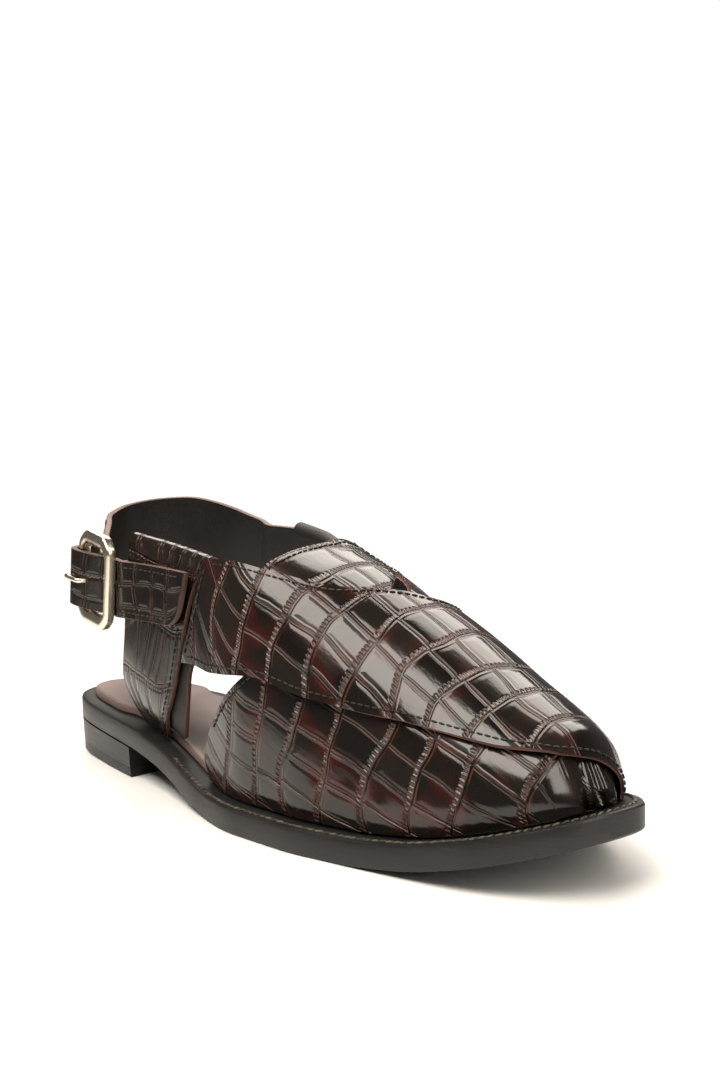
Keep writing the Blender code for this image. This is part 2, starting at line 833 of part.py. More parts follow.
def run_length(rows):
    """Length along the lower edges of a list of strap rows."""
    return np.concatenate([[0.0], np.cumsum(np.linalg.norm(np.diff(rows[:, :3], axis=0), axis=1))])


def heel_strap(finish):
    """Strap from the inner loop round the heel, over the buckle's bars, to its tail."""
    rows = []
    room = STRAP_WALL + 2 * CLEARANCE
    inner_slot = INNER_STRAP_OUTER + SLOT_MIDDLE
    for share in (0.418, 0.395, 0.370, 0.345, 0.320, 0.300):
        x = share * LENGTH
        top = float(loop_top(x, MEDIAL_STRAP, MEDIAL_TOP)) - room
        low = 0.730 * INSTEP
        rows.append((*wall_point(x, low, 1, inner_slot), *wall_point(x, top, 1, inner_slot)))
    for x_low, y_low, z_low, x_top, y_top, z_top in HEEL_RUN:
        lower = (x_low * LENGTH, y_low * MEDIAL_HALF, z_low * INSTEP)
        upper_edge = (x_top * LENGTH, y_top * MEDIAL_HALF, z_top * INSTEP)
        rows.append((*lower, *upper_edge))
    first = len(rows)
    for forward, out in BUCKLE_RUN:
        a = forward * BUCKLE_HALF_WIDTH
        c = out * BUCKLE_THICK
        lower = buckle_place(a, -STRAP_HALF_AT_BUCKLE - 0.0008, c)
        rows.append((*lower, *buckle_place(a, STRAP_HALF_AT_BUCKLE - 0.0008, c)))
    last = len(rows) - 1
    seat = STRAP_OUTER + CLEARANCE + LAYER_GAP + 0.5 * HEEL_STRAP_WALL
    for x_low, z_low, x_top, z_top in TAIL_RUN:
        lower = wall_point(x_low * LENGTH, z_low * INSTEP, -1, seat)
        rows.append((*lower, *wall_point(x_top * LENGTH, z_top * INSTEP, -1, seat)))
    rows = np.array(rows, float)
    run = run_length(rows)
    at = np.concatenate(
        [
            np.linspace(0.0, run[first], 38)[:-1],
            run[first : last + 1],
            np.linspace(run[last], run[-1], 11)[1:],
        ]
    )
    path = np.stack([smooth(run, rows[:, k], at) for k in range(6)], -1)
    hole = (37 + HOLE_ROW, 2)
    columns = (0.0, 0.22, 0.44, 0.56, 0.78, 1.0)
    grid = []
    end = path[-1, 0]
    for row in path:
        lower, higher = row[:3], row[3:]
        near = 0.0
        if lower[1] < 0 and lower[0] > 0.3 * LENGTH:
            near = float(np.clip(1.0 - (end - lower[0]) / TAIL_CORNER, 0.0, 1.0))
        cut = (1.0 - math.sqrt(max(0.0, 1.0 - near**2))) * TAIL_CORNER
        start = cut / max(float(np.linalg.norm(higher - lower)), 1e-6)
        grid.append([lower + (higher - lower) * (start + (1 - start) * s) for s in columns])
    return sheet("heel_strap", grid, HEEL_STRAP_WALL, finish, hole)


def buckle_place(a, b, c):
    """World point from the buckle's own axes: a forward, b up, c outward."""
    lean = BUCKLE_LEAN
    along = a * math.cos(lean) + b * math.sin(lean)
    up = b * math.cos(lean) - a * math.sin(lean)
    heading = BUCKLE_HEADING
    forward = np.array([math.cos(heading), math.sin(heading), 0.0])
    outward = np.array([math.sin(heading), -math.cos(heading), 0.0])
    centre = np.array([BUCKLE_STATION * LENGTH, BUCKLE_SIDE * MEDIAL_HALF, BUCKLE_HEIGHT * INSTEP])
    return centre + forward * along + outward * c + np.array([0.0, 0.0, up])


def chamfered(half_width, half_height, chamfer):
    """Corners of a rectangle with its corners cut, anticlockwise."""
    w, h, k = half_width, half_height, chamfer
    return ((w, h - k), (w - k, h), (k - w, h), (-w, h - k), (-w, k - h), (k - w, -h), (w - k, -h), (w, k - h))


def buckle_frame(finish):
    """Rectangular frame with cut corners, its front bar over the strap."""
    inner_width = BUCKLE_HALF_WIDTH - BUCKLE_SIDE_BAR
    inner_height = BUCKLE_HALF_HEIGHT - BUCKLE_END_BAR
    edge = 0.0008
    half = 0.5 * BUCKLE_THICK
    cut = BUCKLE_CHAMFER
    rings = (
        (chamfered(BUCKLE_HALF_WIDTH, BUCKLE_HALF_HEIGHT, cut), -half),
        (chamfered(BUCKLE_HALF_WIDTH, BUCKLE_HALF_HEIGHT, cut), half - edge),
        (chamfered(BUCKLE_HALF_WIDTH - edge, BUCKLE_HALF_HEIGHT - edge, cut), half),
        (chamfered(inner_width + edge, inner_height + edge, 0.5 * cut), half),
        (chamfered(inner_width, inner_height, 0.5 * cut), half - edge),
        (chamfered(inner_width, inner_height, 0.5 * cut), -half),
    )
    vertices = []
    splits = 3
    for corners, depth in rings:
        for (a0, b0), (a1, b1) in zip(corners, corners[1:] + corners[:1]):
            for k in range(splits):
                a = a0 + (a1 - a0) * k / splits
                b = b0 + (b1 - b0) * k / splits
                vertices.append(buckle_place(a, b, depth))
    count = 8 * splits
    faces = []
    for ring in range(len(rings)):
        after = (ring + 1) % len(rings)
        for k in range(count):
            n = (k + 1) % count
            faces.append((ring * count + k, ring * count + n, after * count + n, after * count + k))
    return new_object("buckle_frame", vertices, faces, finish, sharp=25.0)


BAR_DEPTH = 0.100 * BUCKLE_THICK - 0.5 * HEEL_STRAP_WALL - CLEARANCE - BAR_RADIUS - 0.0002
BAR_REACH = BUCKLE_HALF_HEIGHT - BUCKLE_END_BAR - CLEARANCE


def rod(name, places, radius, aside, finish):
    """Round rod through a list of places, with closed ends; aside is never along the rod."""
    places = np.array(places, float)
    along = np.gradient(places, axis=0)
    along /= np.linalg.norm(along, axis=1, keepdims=True)
    first = np.cross(along, aside)
    first /= np.linalg.norm(first, axis=1, keepdims=True)
    second = np.cross(along, first)
    sides = 10
    vertices = []
    for place, one, two in zip(places, first, second):
        for k in range(sides):
            angle = 2 * math.pi * k / sides
            vertices.append(place + (one * math.cos(angle) + two * math.sin(angle)) * radius)
    faces = [tuple(range(sides))]
    end = (len(places) - 1) * sides
    faces.append(tuple(end + k for k in reversed(range(sides))))
    for ring in range(len(places) - 1):
        for k in range(sides):
            n = (k + 1) % sides
            low = ring * sides
            faces.append((low + k, low + n, low + sides + n, low + sides + k))
    return new_object(name, vertices, faces, finish)


def buckle_bar(finish):
    """Centre bar, across the opening of the frame and inside the strap."""
    places = [buckle_place(0.0, b * BAR_REACH, BAR_DEPTH) for b in (-1.0, 0.0, 1.0)]
    return rod("buckle_bar", places, BAR_RADIUS, (1.0, 0.0, 0.0), finish)


def buckle_prong(finish):
    """Prong from the bar out through the hole in the strap, and rearward over the frame."""
    start = -(BAR_RADIUS + CLEARANCE + PRONG_RADIUS)
    seat = 0.5 * HEEL_STRAP_WALL + 2 * CLEARANCE + PRONG_RADIUS
    route = (
        (start, BAR_DEPTH),
        (-0.275 * BUCKLE_HALF_WIDTH, 0.13 * BUCKLE_THICK),
        (-0.300 * BUCKLE_HALF_WIDTH, 0.75 * BUCKLE_THICK),
        (-0.345 * BUCKLE_HALF_WIDTH, 1.32 * BUCKLE_THICK),
        (-0.530 * BUCKLE_HALF_WIDTH, 0.88 * BUCKLE_THICK + seat),
        (-0.900 * BUCKLE_HALF_WIDTH, 0.95 * BUCKLE_THICK + seat),
        (-1.150 * BUCKLE_HALF_WIDTH, 0.82 * BUCKLE_THICK + seat),
    )
    places = [buckle_place(a, -0.0008, c) for a, c in route]
    return rod("buckle_prong", places, PRONG_RADIUS, (0.0, 0.0, 1.0), finish)


def buckle_billet(finish):
    """Short strip that holds the centre bar and runs forward inside the outer loop."""
    middle = BUCKLE_HEIGHT * INSTEP
    half = 0.5 * BILLET_HEIGHT
    slot = STRAP_OUTER + SLOT_MIDDLE
    rows = []
    back = BAR_DEPTH - BAR_RADIUS - CLEARANCE - 0.5 * STRAP_WALL
    for a, deeper in ((-0.0015, 0.0), (0.0025, 0.0002)):
        lower = buckle_place(a, -half, back - deeper)
        higher = buckle_place(a, half, back - deeper)
        rows.append((*lower, *higher))
    for share in (0.242, 0.262, 0.290, 0.320, 0.355, 0.390):
        x = share * LENGTH
        rows.append(
            (*wall_point(x, middle - half, -1, slot), *wall_point(x, middle + half, -1, slot))
        )
    path = spread(rows, 22)
    grid = [[row[:3] + (row[3:] - row[:3]) * j / 3 for j in range(4)] for row in path]
    return sheet("buckle_billet", grid, STRAP_WALL, finish)


INNER_STRAP_OUTER = UPPER_OUTER - UPPER_WALL - LAYER_GAP
PANEL_ROWS = panel_rows()


def settle(objects):
    """Move everything so that the origin lies at the bottom centre of the whole shoe."""
    graph = bpy.context.evaluated_depsgraph_get()
    low = np.full(3, np.inf)
    high = np.full(3, -np.inf)
    for made in objects:
        evaluated = made.evaluated_get(graph)
        mesh = evaluated.to_mesh()
        for vertex in mesh.vertices:
            place = np.array(made.matrix_world @ vertex.co)
            low = np.minimum(low, place)
            high = np.maximum(high, place)
        evaluated.to_mesh_clear()
    shift = Vector((-0.5 * (low[0] + high[0]), -0.5 * (low[1] + high[1]), -low[2]))
    for made in objects:
        made.location = made.location + shift
    return shift


def build():
    """Make the finishes and every piece of the shoe."""
    croc = material("embossed_leather", (0.035, 0.016, 0.012), 0.25)
    lining = material("lining_leather", (0.020, 0.014, 0.012), 0.60)
    sole_finish = material("sole_leather", (0.022, 0.019, 0.018), 0.45)
    sock = material("insole_leather", (0.240, 0.165, 0.145), 0.65)
    metal = material("polished_metal", (0.720, 0.640, 0.540), 0.15, 1.0)
    made = [
        outsole(sole_finish),
        heel(sole_finish),
        insole(sock),
        upper(croc),
        cross_panel(croc),
        tongue(croc),
        side_strap("side_strap_lateral", -1, LATERAL_STRAP, LATERAL_TOP, STRAP_OUTER, croc),
        side_strap("side_strap_medial", 1, MEDIAL_STRAP, MEDIAL_TOP, INNER_STRAP_OUTER, croc),
        heel_strap(lining),
        buckle_billet(lining),
        buckle_frame(metal),
        buckle_bar(metal),
        buckle_prong(metal),
    ]
    bpy.context.view_layer.update()
    settle(made)


for old in list(bpy.data.objects):
    bpy.data.objects.remove(old)
PARTS = bpy.data.collections.new("peshawari_chappal")
bpy.context.scene.collection.children.link(PARTS)
build()
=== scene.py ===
"""Studio picture of a peshawari chappal, one right shoe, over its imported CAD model.

Every leather panel is drawn again, finer, from the same last surface as the CAD, with the
embossing, burnish, edge stitches, pleats and wear of the real shoe.
"""

import logging
import math
from dataclasses import dataclass
from enum import Enum
from typing import Callable, Optional, Sequence, Union

import bmesh
import bpy
import numpy as np
from mathutils import Matrix, Vector
from mathutils.geometry import delaunay_2d_cdt

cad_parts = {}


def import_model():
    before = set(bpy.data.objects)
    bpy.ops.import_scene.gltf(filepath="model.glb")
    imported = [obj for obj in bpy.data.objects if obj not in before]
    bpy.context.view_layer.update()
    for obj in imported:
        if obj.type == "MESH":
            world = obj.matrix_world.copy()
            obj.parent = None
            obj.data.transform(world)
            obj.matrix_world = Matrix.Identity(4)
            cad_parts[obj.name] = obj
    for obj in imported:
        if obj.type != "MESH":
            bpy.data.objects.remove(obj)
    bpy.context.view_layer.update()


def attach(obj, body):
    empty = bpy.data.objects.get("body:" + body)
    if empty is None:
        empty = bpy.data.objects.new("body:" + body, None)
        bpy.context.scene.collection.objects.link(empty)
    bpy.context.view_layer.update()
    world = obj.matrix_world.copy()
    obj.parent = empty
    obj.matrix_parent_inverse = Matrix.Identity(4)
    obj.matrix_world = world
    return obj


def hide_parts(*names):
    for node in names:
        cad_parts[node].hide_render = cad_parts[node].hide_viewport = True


LOG = logging.getLogger("chappal")

# The heel of the sole's plan in the row frame
SHIFT = np.array((-0.1450, 0.00111, 0.0))
LENGTH = 0.290
LATERAL_HALF = 0.0510
MEDIAL_HALF = 0.0485
WELT = 0.0055
TOE_WELT = 0.0078
SOLE_EDGE = 0.0090
HEEL_LIFT = 0.0124
HEEL_BREAST = 0.0660
TOE_SPRING = 0.0180
INSTEP = 0.0980
TUCK = 0.0025
TUCK_HEIGHT = 0.0110
NOSE = 0.0140
NOSE_FOOT = 0.30
SPAN = 0.170
CLEARANCE = 0.0003

OUTLINE = (
    (0.000, 0.000, 0.000),
    (0.012, 0.200, 0.250),
    (0.050, 0.370, 0.460),
    (0.120, 0.490, 0.585),
    (0.240, 0.630, 0.640),
    (0.340, 0.735, 0.610),
    (0.440, 0.875, 0.660),
    (0.540, 0.985, 0.840),
    (0.620, 0.985, 0.970),
    (0.700, 0.925, 0.990),
    (0.780, 0.860, 0.920),
    (0.860, 0.790, 0.770),
    (0.920, 0.680, 0.580),
    (0.965, 0.500, 0.330),
    (0.990, 0.260, 0.140),
    (1.000, 0.000, 0.000),
)
PROFILE = (
    (0.000, 1.19, 0.00),
    (0.235, 1.00, 0.00),
    (0.300, 0.82, 0.00),
    (0.360, 0.52, 0.00),
    (0.420, 0.20, 0.00),
    (0.480, 0.00, 0.00),
    (0.700, 0.00, 0.00),
    (0.780, 0.00, 0.10),
    (0.860, 0.00, 0.36),
    (0.930, 0.00, 0.67),
    (1.000, 0.00, 1.00),
)
SECTIONS = (
    (0.200, 1.600, 3.60, 0.200, 0.190),
    (0.270, 1.600, 3.60, 0.130, 0.200),
    (0.340, 1.550, 3.60, 0.050, 0.230),
    (0.420, 1.320, 3.40, 0.000, 0.200),
    (0.470, 1.130, 3.30, 0.000, 0.140),
    (0.520, 1.010, 3.20, 0.000, 0.070),
    (0.580, 0.938, 2.90, 0.000, 0.010),
    (0.640, 0.856, 2.50, 0.000, 0.000),
    (0.700, 0.775, 2.30, 0.000, 0.000),
    (0.760, 0.692, 2.20, 0.000, 0.000),
    (0.820, 0.607, 2.10, 0.000, 0.000),
    (0.880, 0.532, 2.10, 0.000, 0.000),
    (0.930, 0.468, 2.10, 0.000, 0.000),
    (0.962, 0.420, 2.10, 0.000, 0.000),
    (1.000, 0.365, 2.10, 0.000, 0.000),
)
WING_BOTTOM = (
    (0.392, 0.044),
    (0.459, 0.076),
    (0.550, 0.127),
    (0.595, 0.146),
    (0.656, 0.170),
    (0.726, 0.198),
    (0.764, 0.217),
    (0.810, 0.238),
    (0.858, 0.257),
    (0.890, 0.277),
    (0.929, 0.335),
    (0.943, 0.425),
    (0.950, 0.560),
    (0.953, 0.720),
    (0.951, 0.870),
    (0.944, 1.000),
)
PANEL_REAR = (
    (0.424, 1.000),
    (0.436, 0.985),
    (0.490, 0.935),
    (0.550, 0.870),
    (0.598, 0.810),
    (0.638, 0.740),
    (0.662, 0.665),
    (0.672, 0.600),
    (0.669, 0.550),
    (0.658, 0.517),
    (0.640, 0.477),
    (0.623, 0.427),
    (0.605, 0.395),
    (0.578, 0.370),
    (0.532, 0.340),
    (0.495, 0.299),
    (0.441, 0.210),
)
WING_REAR = (
    (0.441, 0.210),
    (0.423, 0.114),
    (0.392, 0.044),
)
VAMP_REAR = (
    (0.432, 0.000),
    (0.433, 0.004),
    (0.442, 0.013),
    (0.473, 0.044),
    (0.537, 0.120),
    (0.580, 0.190),
    (0.615, 0.280),
    (0.642, 0.370),
    (0.660, 0.440),
    (0.664, 0.500),
)
ROLLED_EDGE = (
    (0.664, 0.500),
    (0.645, 0.545),
    (0.612, 0.600),
    (0.575, 0.645),
    (0.535, 0.678),
    (0.500, 0.705),
    (0.472, 0.735),
)
INNER_WING_REAR = (
    (0.472, 0.735),
    (0.440, 0.850),
    (0.410, 0.953),
)
INNER_WING_BOTTOM = (
    (0.410, 0.953),
    (0.450, 0.945),
    (0.530, 0.925),
    (0.610, 0.890),
)
INNER_VAMP_REAR = (
    (0.610, 0.890),
    (0.570, 0.950),
    (0.545, 0.988),
    (0.538, 1.000),
)
TONGUE_EDGE = (
    (0.568, 0.322),
    (0.536, 0.330),
    (0.522, 0.352),
    (0.526, 0.420),
    (0.524, 0.489),
    (0.515, 0.550),
    (0.520, 0.610),
    (0.545, 0.632),
    (0.575, 0.610),
    (0.605, 0.565),
    (0.626, 0.525),
    (0.642, 0.492),
)
TONGUE_ROOT = (
    (0.642, 0.492),
    (0.645, 0.450),
    (0.628, 0.390),
    (0.600, 0.348),
    (0.568, 0.322),
)


class Quality(Enum):
    """How finely the meshes are drawn."""

    QUICK = 0.0040
    FULL = 0.0024


class Slot(Enum):
    """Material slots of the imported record."""

    CROC = "embossed_leather"
    LINING = "lining_leather"
    SOLE = "sole_leather"
    INSOLE = "insole_leather"
    METAL = "polished_metal"


def smooth(xs: Sequence[float], ys: Sequence[float], x: np.ndarray) -> np.ndarray:
    """Monotone cubic through a short table.

    Args:
        xs: stations, rising.
        ys: value at each station.
        x: where the curve is wanted; past an end it keeps that end's value.

    Returns:
        The curve's values at x.
    """
    xs = np.asarray(xs, float)
    ys = np.asarray(ys, float)
    step = np.diff(xs)
    slope = np.diff(ys) / step
    tangent = np.zeros(len(xs))
    tangent[0] = slope[0]
    tangent[-1] = slope[-1]
    for k in range(1, len(xs) - 1):
        if slope[k - 1] * slope[k] > 0:
            before = 2 * step[k] + step[k - 1]
            after = step[k] + 2 * step[k - 1]
            tangent[k] = (before + after) / (before / slope[k - 1] + after / slope[k])
    x = np.clip(np.asarray(x, float), xs[0], xs[-1])
    k = np.clip(np.searchsorted(xs, x, side="right") - 1, 0, len(xs) - 2)
    t = (x - xs[k]) / step[k]
    return (
        ys[k]
        + (ys[k + 1] - ys[k]) * (3 * t**2 - 2 * t**3)
        + step[k] * tangent[k] * (t**3 - 2 * t**2 + t)
        + step[k] * tangent[k + 1] * (t**3 - t**2)
    )


def column(table: Sequence[Sequence[float]], index: int) -> np.ndarray:
    """One column of a table as an array."""
    return np.array([row[index] for row in table])


def side_curve(side: int, inset: float, count: int = 500) -> tuple[np.ndarray, np.ndarray]:
    """One side of the sole's plan.

    Args:
        side: -1 for the outer side, +1 for the inner side.
        inset: distance in from the edge; it grows a little at the toe.
        count: number of samples.

    Returns:
        x and y of the samples from heel to toe.
    """
    half = LATERAL_HALF if side < 0 else MEDIAL_HALF
    x_rows = column(OUTLINE, 0) * LENGTH
    y_rows = column(OUTLINE, 1 if side < 0 else 2) * half
    run = np.concatenate([[0.0], np.cumsum(np.hypot(np.diff(x_rows), np.diff(y_rows)))])
    at = np.linspace(0.0, run[-1], count)
    x = smooth(run, x_rows, at)
    y = smooth(run, y_rows, at)
    if inset:
        toe = np.clip((x / LENGTH - 0.85) / 0.15, 0.0, 1.0) ** 2
        inset = inset * (1.0 + (TOE_WELT / WELT - 1.0) * toe)
        along_x = np.gradient(x)
        along_y = np.gradient(y)
        length = np.hypot(along_x, along_y)
        x, y = x + along_y / length * inset, y - along_x / length * inset
        keep = y > 0
        x = np.concatenate([[x[keep][0]], x[keep], [x[keep][-1]]])
        y = np.concatenate([[0.0], y[keep], [0.0]])
    return x, side * y


def sole_bottom(x: np.ndarray) -> np.ndarray:
    """Height of the sole's underside at x."""
    share = np.asarray(x, float) / LENGTH
    station = column(PROFILE, 0)
    heel = smooth(station, column(PROFILE, 1), share) * HEEL_LIFT
    return heel + smooth(station, column(PROFILE, 2), share) * TOE_SPRING


def sole_top(x: np.ndarray) -> np.ndarray:
    """Height of the sole's upper face at x."""
    return sole_bottom(x) + SOLE_EDGE


class Last:
    """The last's surface, told by a run along it and a turn round it (0 outer, 1 inner side)."""

    def __init__(self) -> None:
        """Work out the toe's end and the true lengths round the last."""
        self.tip = min(side_curve(side, WELT)[0][-1] for side in (-1, 1))
        self.feather = {side: self._feather(side) for side in (-1, 1)}
        self.nose_start = self.tip - NOSE
        self.nose_turn = math.acos(NOSE_FOOT)
        self.run_end = self.nose_start + NOSE * self.nose_turn
        self.runs = np.linspace(0.37 * LENGTH, self.run_end, 120)
        self.turns = np.linspace(0.0, 1.0, 161)
        places = self.point(self.runs[:, None], self.turns[None, :])
        steps = np.linalg.norm(np.diff(places, axis=1), axis=-1)
        arcs = np.concatenate([np.zeros((len(self.runs), 1)), np.cumsum(steps, axis=1)], axis=1)
        self.arcs = arcs - arcs[:, 80:81]

    def arc(self, run: np.ndarray, turn: np.ndarray) -> np.ndarray:
        """True length round the last from its crown, negative on the outer side."""
        i = np.clip(np.interp(run, self.runs, np.arange(len(self.runs))), 0, len(self.runs) - 1.001)
        j = np.clip(np.asarray(turn, float), 0.0, 1.0) * (len(self.turns) - 1.001)
        i0, j0 = i.astype(int), j.astype(int)
        a, b = i - i0, j - j0
        low = self.arcs[i0, j0] * (1 - b) + self.arcs[i0, j0 + 1] * b
        high = self.arcs[i0 + 1, j0] * (1 - b) + self.arcs[i0 + 1, j0 + 1] * b
        return low * (1 - a) + high * a

    def _feather(self, side: int) -> tuple[np.ndarray, np.ndarray]:
        """Edge where the last meets the sole, with its toe rounded off evenly."""
        x, y = side_curve(side, WELT)
        width = np.abs(y)
        knots = np.array([0.900, 0.925, 0.950]) * LENGTH
        squares = np.append(np.interp(knots, x, width) ** 2, 0.0)
        knots = np.append(knots, self.tip)
        even = np.linspace(knots[0], self.tip, 160)
        toe = np.sqrt(np.clip(smooth(knots, squares, even), 0.0, None))
        keep = x < knots[0]
        return np.concatenate([x[keep], even]), np.concatenate([width[keep], toe])

    def section(self, x: np.ndarray) -> tuple[dict, np.ndarray, np.ndarray, np.ndarray]:
        """Feather and overhang widths, feather height, crown and squareness at x."""
        share = x / LENGTH
        station = column(SECTIONS, 0)
        values = {}
        for side, half, index in ((-1, LATERAL_HALF, 3), (1, MEDIAL_HALF, 4)):
            over = smooth(station, column(SECTIONS, index), share) * half
            values[side] = (np.interp(x, *self.feather[side]), over)
        crown = smooth(station, column(SECTIONS, 1), share) * INSTEP
        square = smooth(station, column(SECTIONS, 2), share)
        return values, sole_top(x) + CLEARANCE, crown, square

    def point(self, run: np.ndarray, turn: np.ndarray) -> np.ndarray:
        """Points of the surface."""
        run = np.asarray(run, float)
        turn = np.asarray(turn, float)
        angle = np.clip((run - self.nose_start) / NOSE, 0.0, self.nose_turn)
        x = np.minimum(run, self.nose_start) + NOSE * np.sin(angle)
        nose = (np.cos(angle) - NOSE_FOOT) / (1.0 - NOSE_FOOT)
        values, floor, crown, square = self.section(x)
        shape = 2.0 / square
        side = np.cos(math.pi * turn)
        up = np.clip(np.sin(math.pi * turn), 0.0, 1.0) ** shape
        z = floor + (crown - floor) * nose * up
        out = np.sign(side) * np.abs(side) ** shape
        full = {s: values[s][0] + np.minimum(TUCK, 0.12 * values[s][0]) + values[s][1] for s in (-1, 1)}
        middle = 0.5 * (full[1] - full[-1])
        y = middle - 0.5 * (full[1] + full[-1]) * out
        for s in (-1, 1):
            pull = full[s] - values[s][0]
            height = TUCK_HEIGHT + 3.2 * values[s][1]
            near = np.clip(1.0 - (z - floor) / height, 0.0, 1.0) ** 2
            y = y - s * pull * near * np.where(np.sign(y - middle) == s, 1.0, 0.0)
        return np.stack(np.broadcast_arrays(x, y, z), -1)

    def normal(self, run: np.ndarray, turn: np.ndarray) -> np.ndarray:
        """Outward normals of the surface."""
        step = 0.0006
        run = np.minimum(np.asarray(run, float), self.run_end - 2.5 * step)
        turn = np.clip(np.asarray(turn, float), 0.004, 0.996)
        along = self.point(run + step, turn) - self.point(run - step, turn)
        around = self.point(run, turn + 0.003) - self.point(run, turn - 0.003)
        normal = np.cross(along, around)
        return normal / np.linalg.norm(normal, axis=-1, keepdims=True)

    def shell(self, run: np.ndarray, turn: np.ndarray, offset: np.ndarray) -> np.ndarray:
        """Points at a distance off the surface, outward when the offset is positive."""
        point = self.point(run, turn) + self.normal(run, turn) * np.asarray(offset, float)[..., None]
        low = sole_top(point[..., 0]) + CLEARANCE
        point[..., 2] = np.maximum(point[..., 2], low)
        return point

    def wall(self, x: float, z: float, side: int, offset: float) -> np.ndarray:
        """Point on a side wall at x and height z, a distance off it."""
        _, floor, crown, square = self.section(np.asarray(x, float))
        rise = np.clip((z - floor) / (crown - floor), 0.0, 1.0)
        turn = np.arcsin(rise ** (square / 2.0)) / math.pi
        return self.shell(np.asarray(x, float), turn if side < 0 else 1.0 - turn, offset)


LAST = Last()


class Value:
    """A node socket that takes part in sums written with ordinary operators."""

    def __init__(self, graph: "Graph", socket: bpy.types.NodeSocket) -> None:
        """Wrap an output socket of a graph."""
        self.graph = graph
        self.socket = socket

    def __add__(self, other: "Value | float") -> "Value":
        """Sum with a value or number."""
        return self.graph.math("ADD", self, other)

    def __radd__(self, other: "Value | float") -> "Value":
        """Sum of a number and this value."""
        return self.graph.math("ADD", other, self)

    def __sub__(self, other: "Value | float") -> "Value":
        """This value less another."""
        return self.graph.math("SUBTRACT", self, other)

    def __rsub__(self, other: "Value | float") -> "Value":
        """A number less this value."""
        return self.graph.math("SUBTRACT", other, self)

    def __mul__(self, other: "Value | float") -> "Value":
        """Product with a value or number."""
        return self.graph.math("MULTIPLY", self, other)

    def __rmul__(self, other: "Value | float") -> "Value":
        """Product of a number and this value."""
        return self.graph.math("MULTIPLY", other, self)

    def __truediv__(self, other: "Value | float") -> "Value":
        """This value over another."""
        return self.graph.math("DIVIDE", self, other)

    def __rtruediv__(self, other: "Value | float") -> "Value":
        """A number over this value."""
        return self.graph.math("DIVIDE", other, self)



# What an input takes: a value, a socket, a number, or a colour or vector
Feed = Union[Value, bpy.types.NodeSocket, float, Sequence[float]]


class Graph:
    """Builds a shader or geometry node tree with short calls."""

    def __init__(self, tree: bpy.types.NodeTree) -> None:
        """Keep the tree."""
        self.tree = tree

    def node(self, kind: str, **settings) -> bpy.types.Node:
        """New node of a kind, with its settings."""
        made = self.tree.nodes.new(kind)
        for name, value in settings.items():
            setattr(made, name, value)
        return made

    def feed(self, socket: bpy.types.NodeSocket, value: Feed) -> None:
        """Link a value to an input, or set it when it is a number, colour or vector."""
        if isinstance(value, Value):
            self.tree.links.new(value.socket, socket)
        elif isinstance(value, bpy.types.NodeSocket):
            self.tree.links.new(value, socket)
        else:
            socket.default_value = value

    def math(self, operation: str, *values: Feed, clamp: bool = False) -> Value:
        """Math node."""
        made = self.node("ShaderNodeMath", operation=operation, use_clamp=clamp)
        for socket, value in zip(made.inputs, values):
            self.feed(socket, value)
        return Value(self, made.outputs[0])

    def ramp(self, value: Feed, low: float, high: float) -> Value:
        """Smooth step from 0 at low to 1 at high; low may be above high."""
        made = self.node("ShaderNodeMapRange", interpolation_type="SMOOTHSTEP")
        start, stop, a, b = (low, high, 0.0, 1.0) if low < high else (high, low, 1.0, 0.0)
        for name, item in (
            ("Value", value),
            ("From Min", start),
            ("From Max", stop),
            ("To Min", a),
            ("To Max", b),
        ):
            self.feed(made.inputs[name], item)
        return Value(self, made.outputs["Result"])

    def vector(self, x: Feed, y: Feed, z: Feed = 0.0) -> Value:
        """Vector from three values."""
        made = self.node("ShaderNodeCombineXYZ")
        for socket, value in zip(made.inputs, (x, y, z)):
            self.feed(socket, value)
        return Value(self, made.outputs[0])

    def split(self, vector: Feed) -> tuple[Value, Value, Value]:
        """The three values of a vector."""
        made = self.node("ShaderNodeSeparateXYZ")
        self.feed(made.inputs[0], vector)
        return tuple(Value(self, out) for out in made.outputs)

    def noise(self, vector: Feed, scale: float, detail: float = 2.0, rough: float = 0.5) -> Value:
        """Noise between 0 and 1."""
        made = self.node("ShaderNodeTexNoise")
        self.feed(made.inputs["Vector"], vector)
        made.inputs["Scale"].default_value = scale
        made.inputs["Detail"].default_value = detail
        made.inputs["Roughness"].default_value = rough
        return Value(self, made.outputs[0])

    def cells(self, vector: Feed, scale: float) -> Value:
        """Fine grain: distance to the nearest of many scattered points."""
        made = self.node("ShaderNodeTexVoronoi")
        self.feed(made.inputs["Vector"], vector)
        made.inputs["Scale"].default_value = scale
        return Value(self, made.outputs["Distance"])

    def chance(self, x: Feed, y: Feed = 0.0, z: Feed = 0.0) -> Value:
        """Random value from 0 to 1 for a pair of whole numbers."""
        made = self.node("ShaderNodeTexWhiteNoise", noise_dimensions="3D")
        self.feed(made.inputs["Vector"], self.vector(x, y, z))
        return Value(self, made.outputs["Value"])

    def blend(self, factor: Feed, first: Feed, second: Feed) -> Value:
        """Mix of two colours."""
        made = self.node("ShaderNodeMix", data_type="RGBA")
        self.feed(made.inputs["Factor"], factor)
        self.feed(made.inputs[6], first)
        self.feed(made.inputs[7], second)
        return Value(self, made.outputs[2])


def rgb(red: float, green: float, blue: float) -> tuple[float, float, float, float]:
    """Colour with full alpha."""
    return (red, green, blue, 1.0)


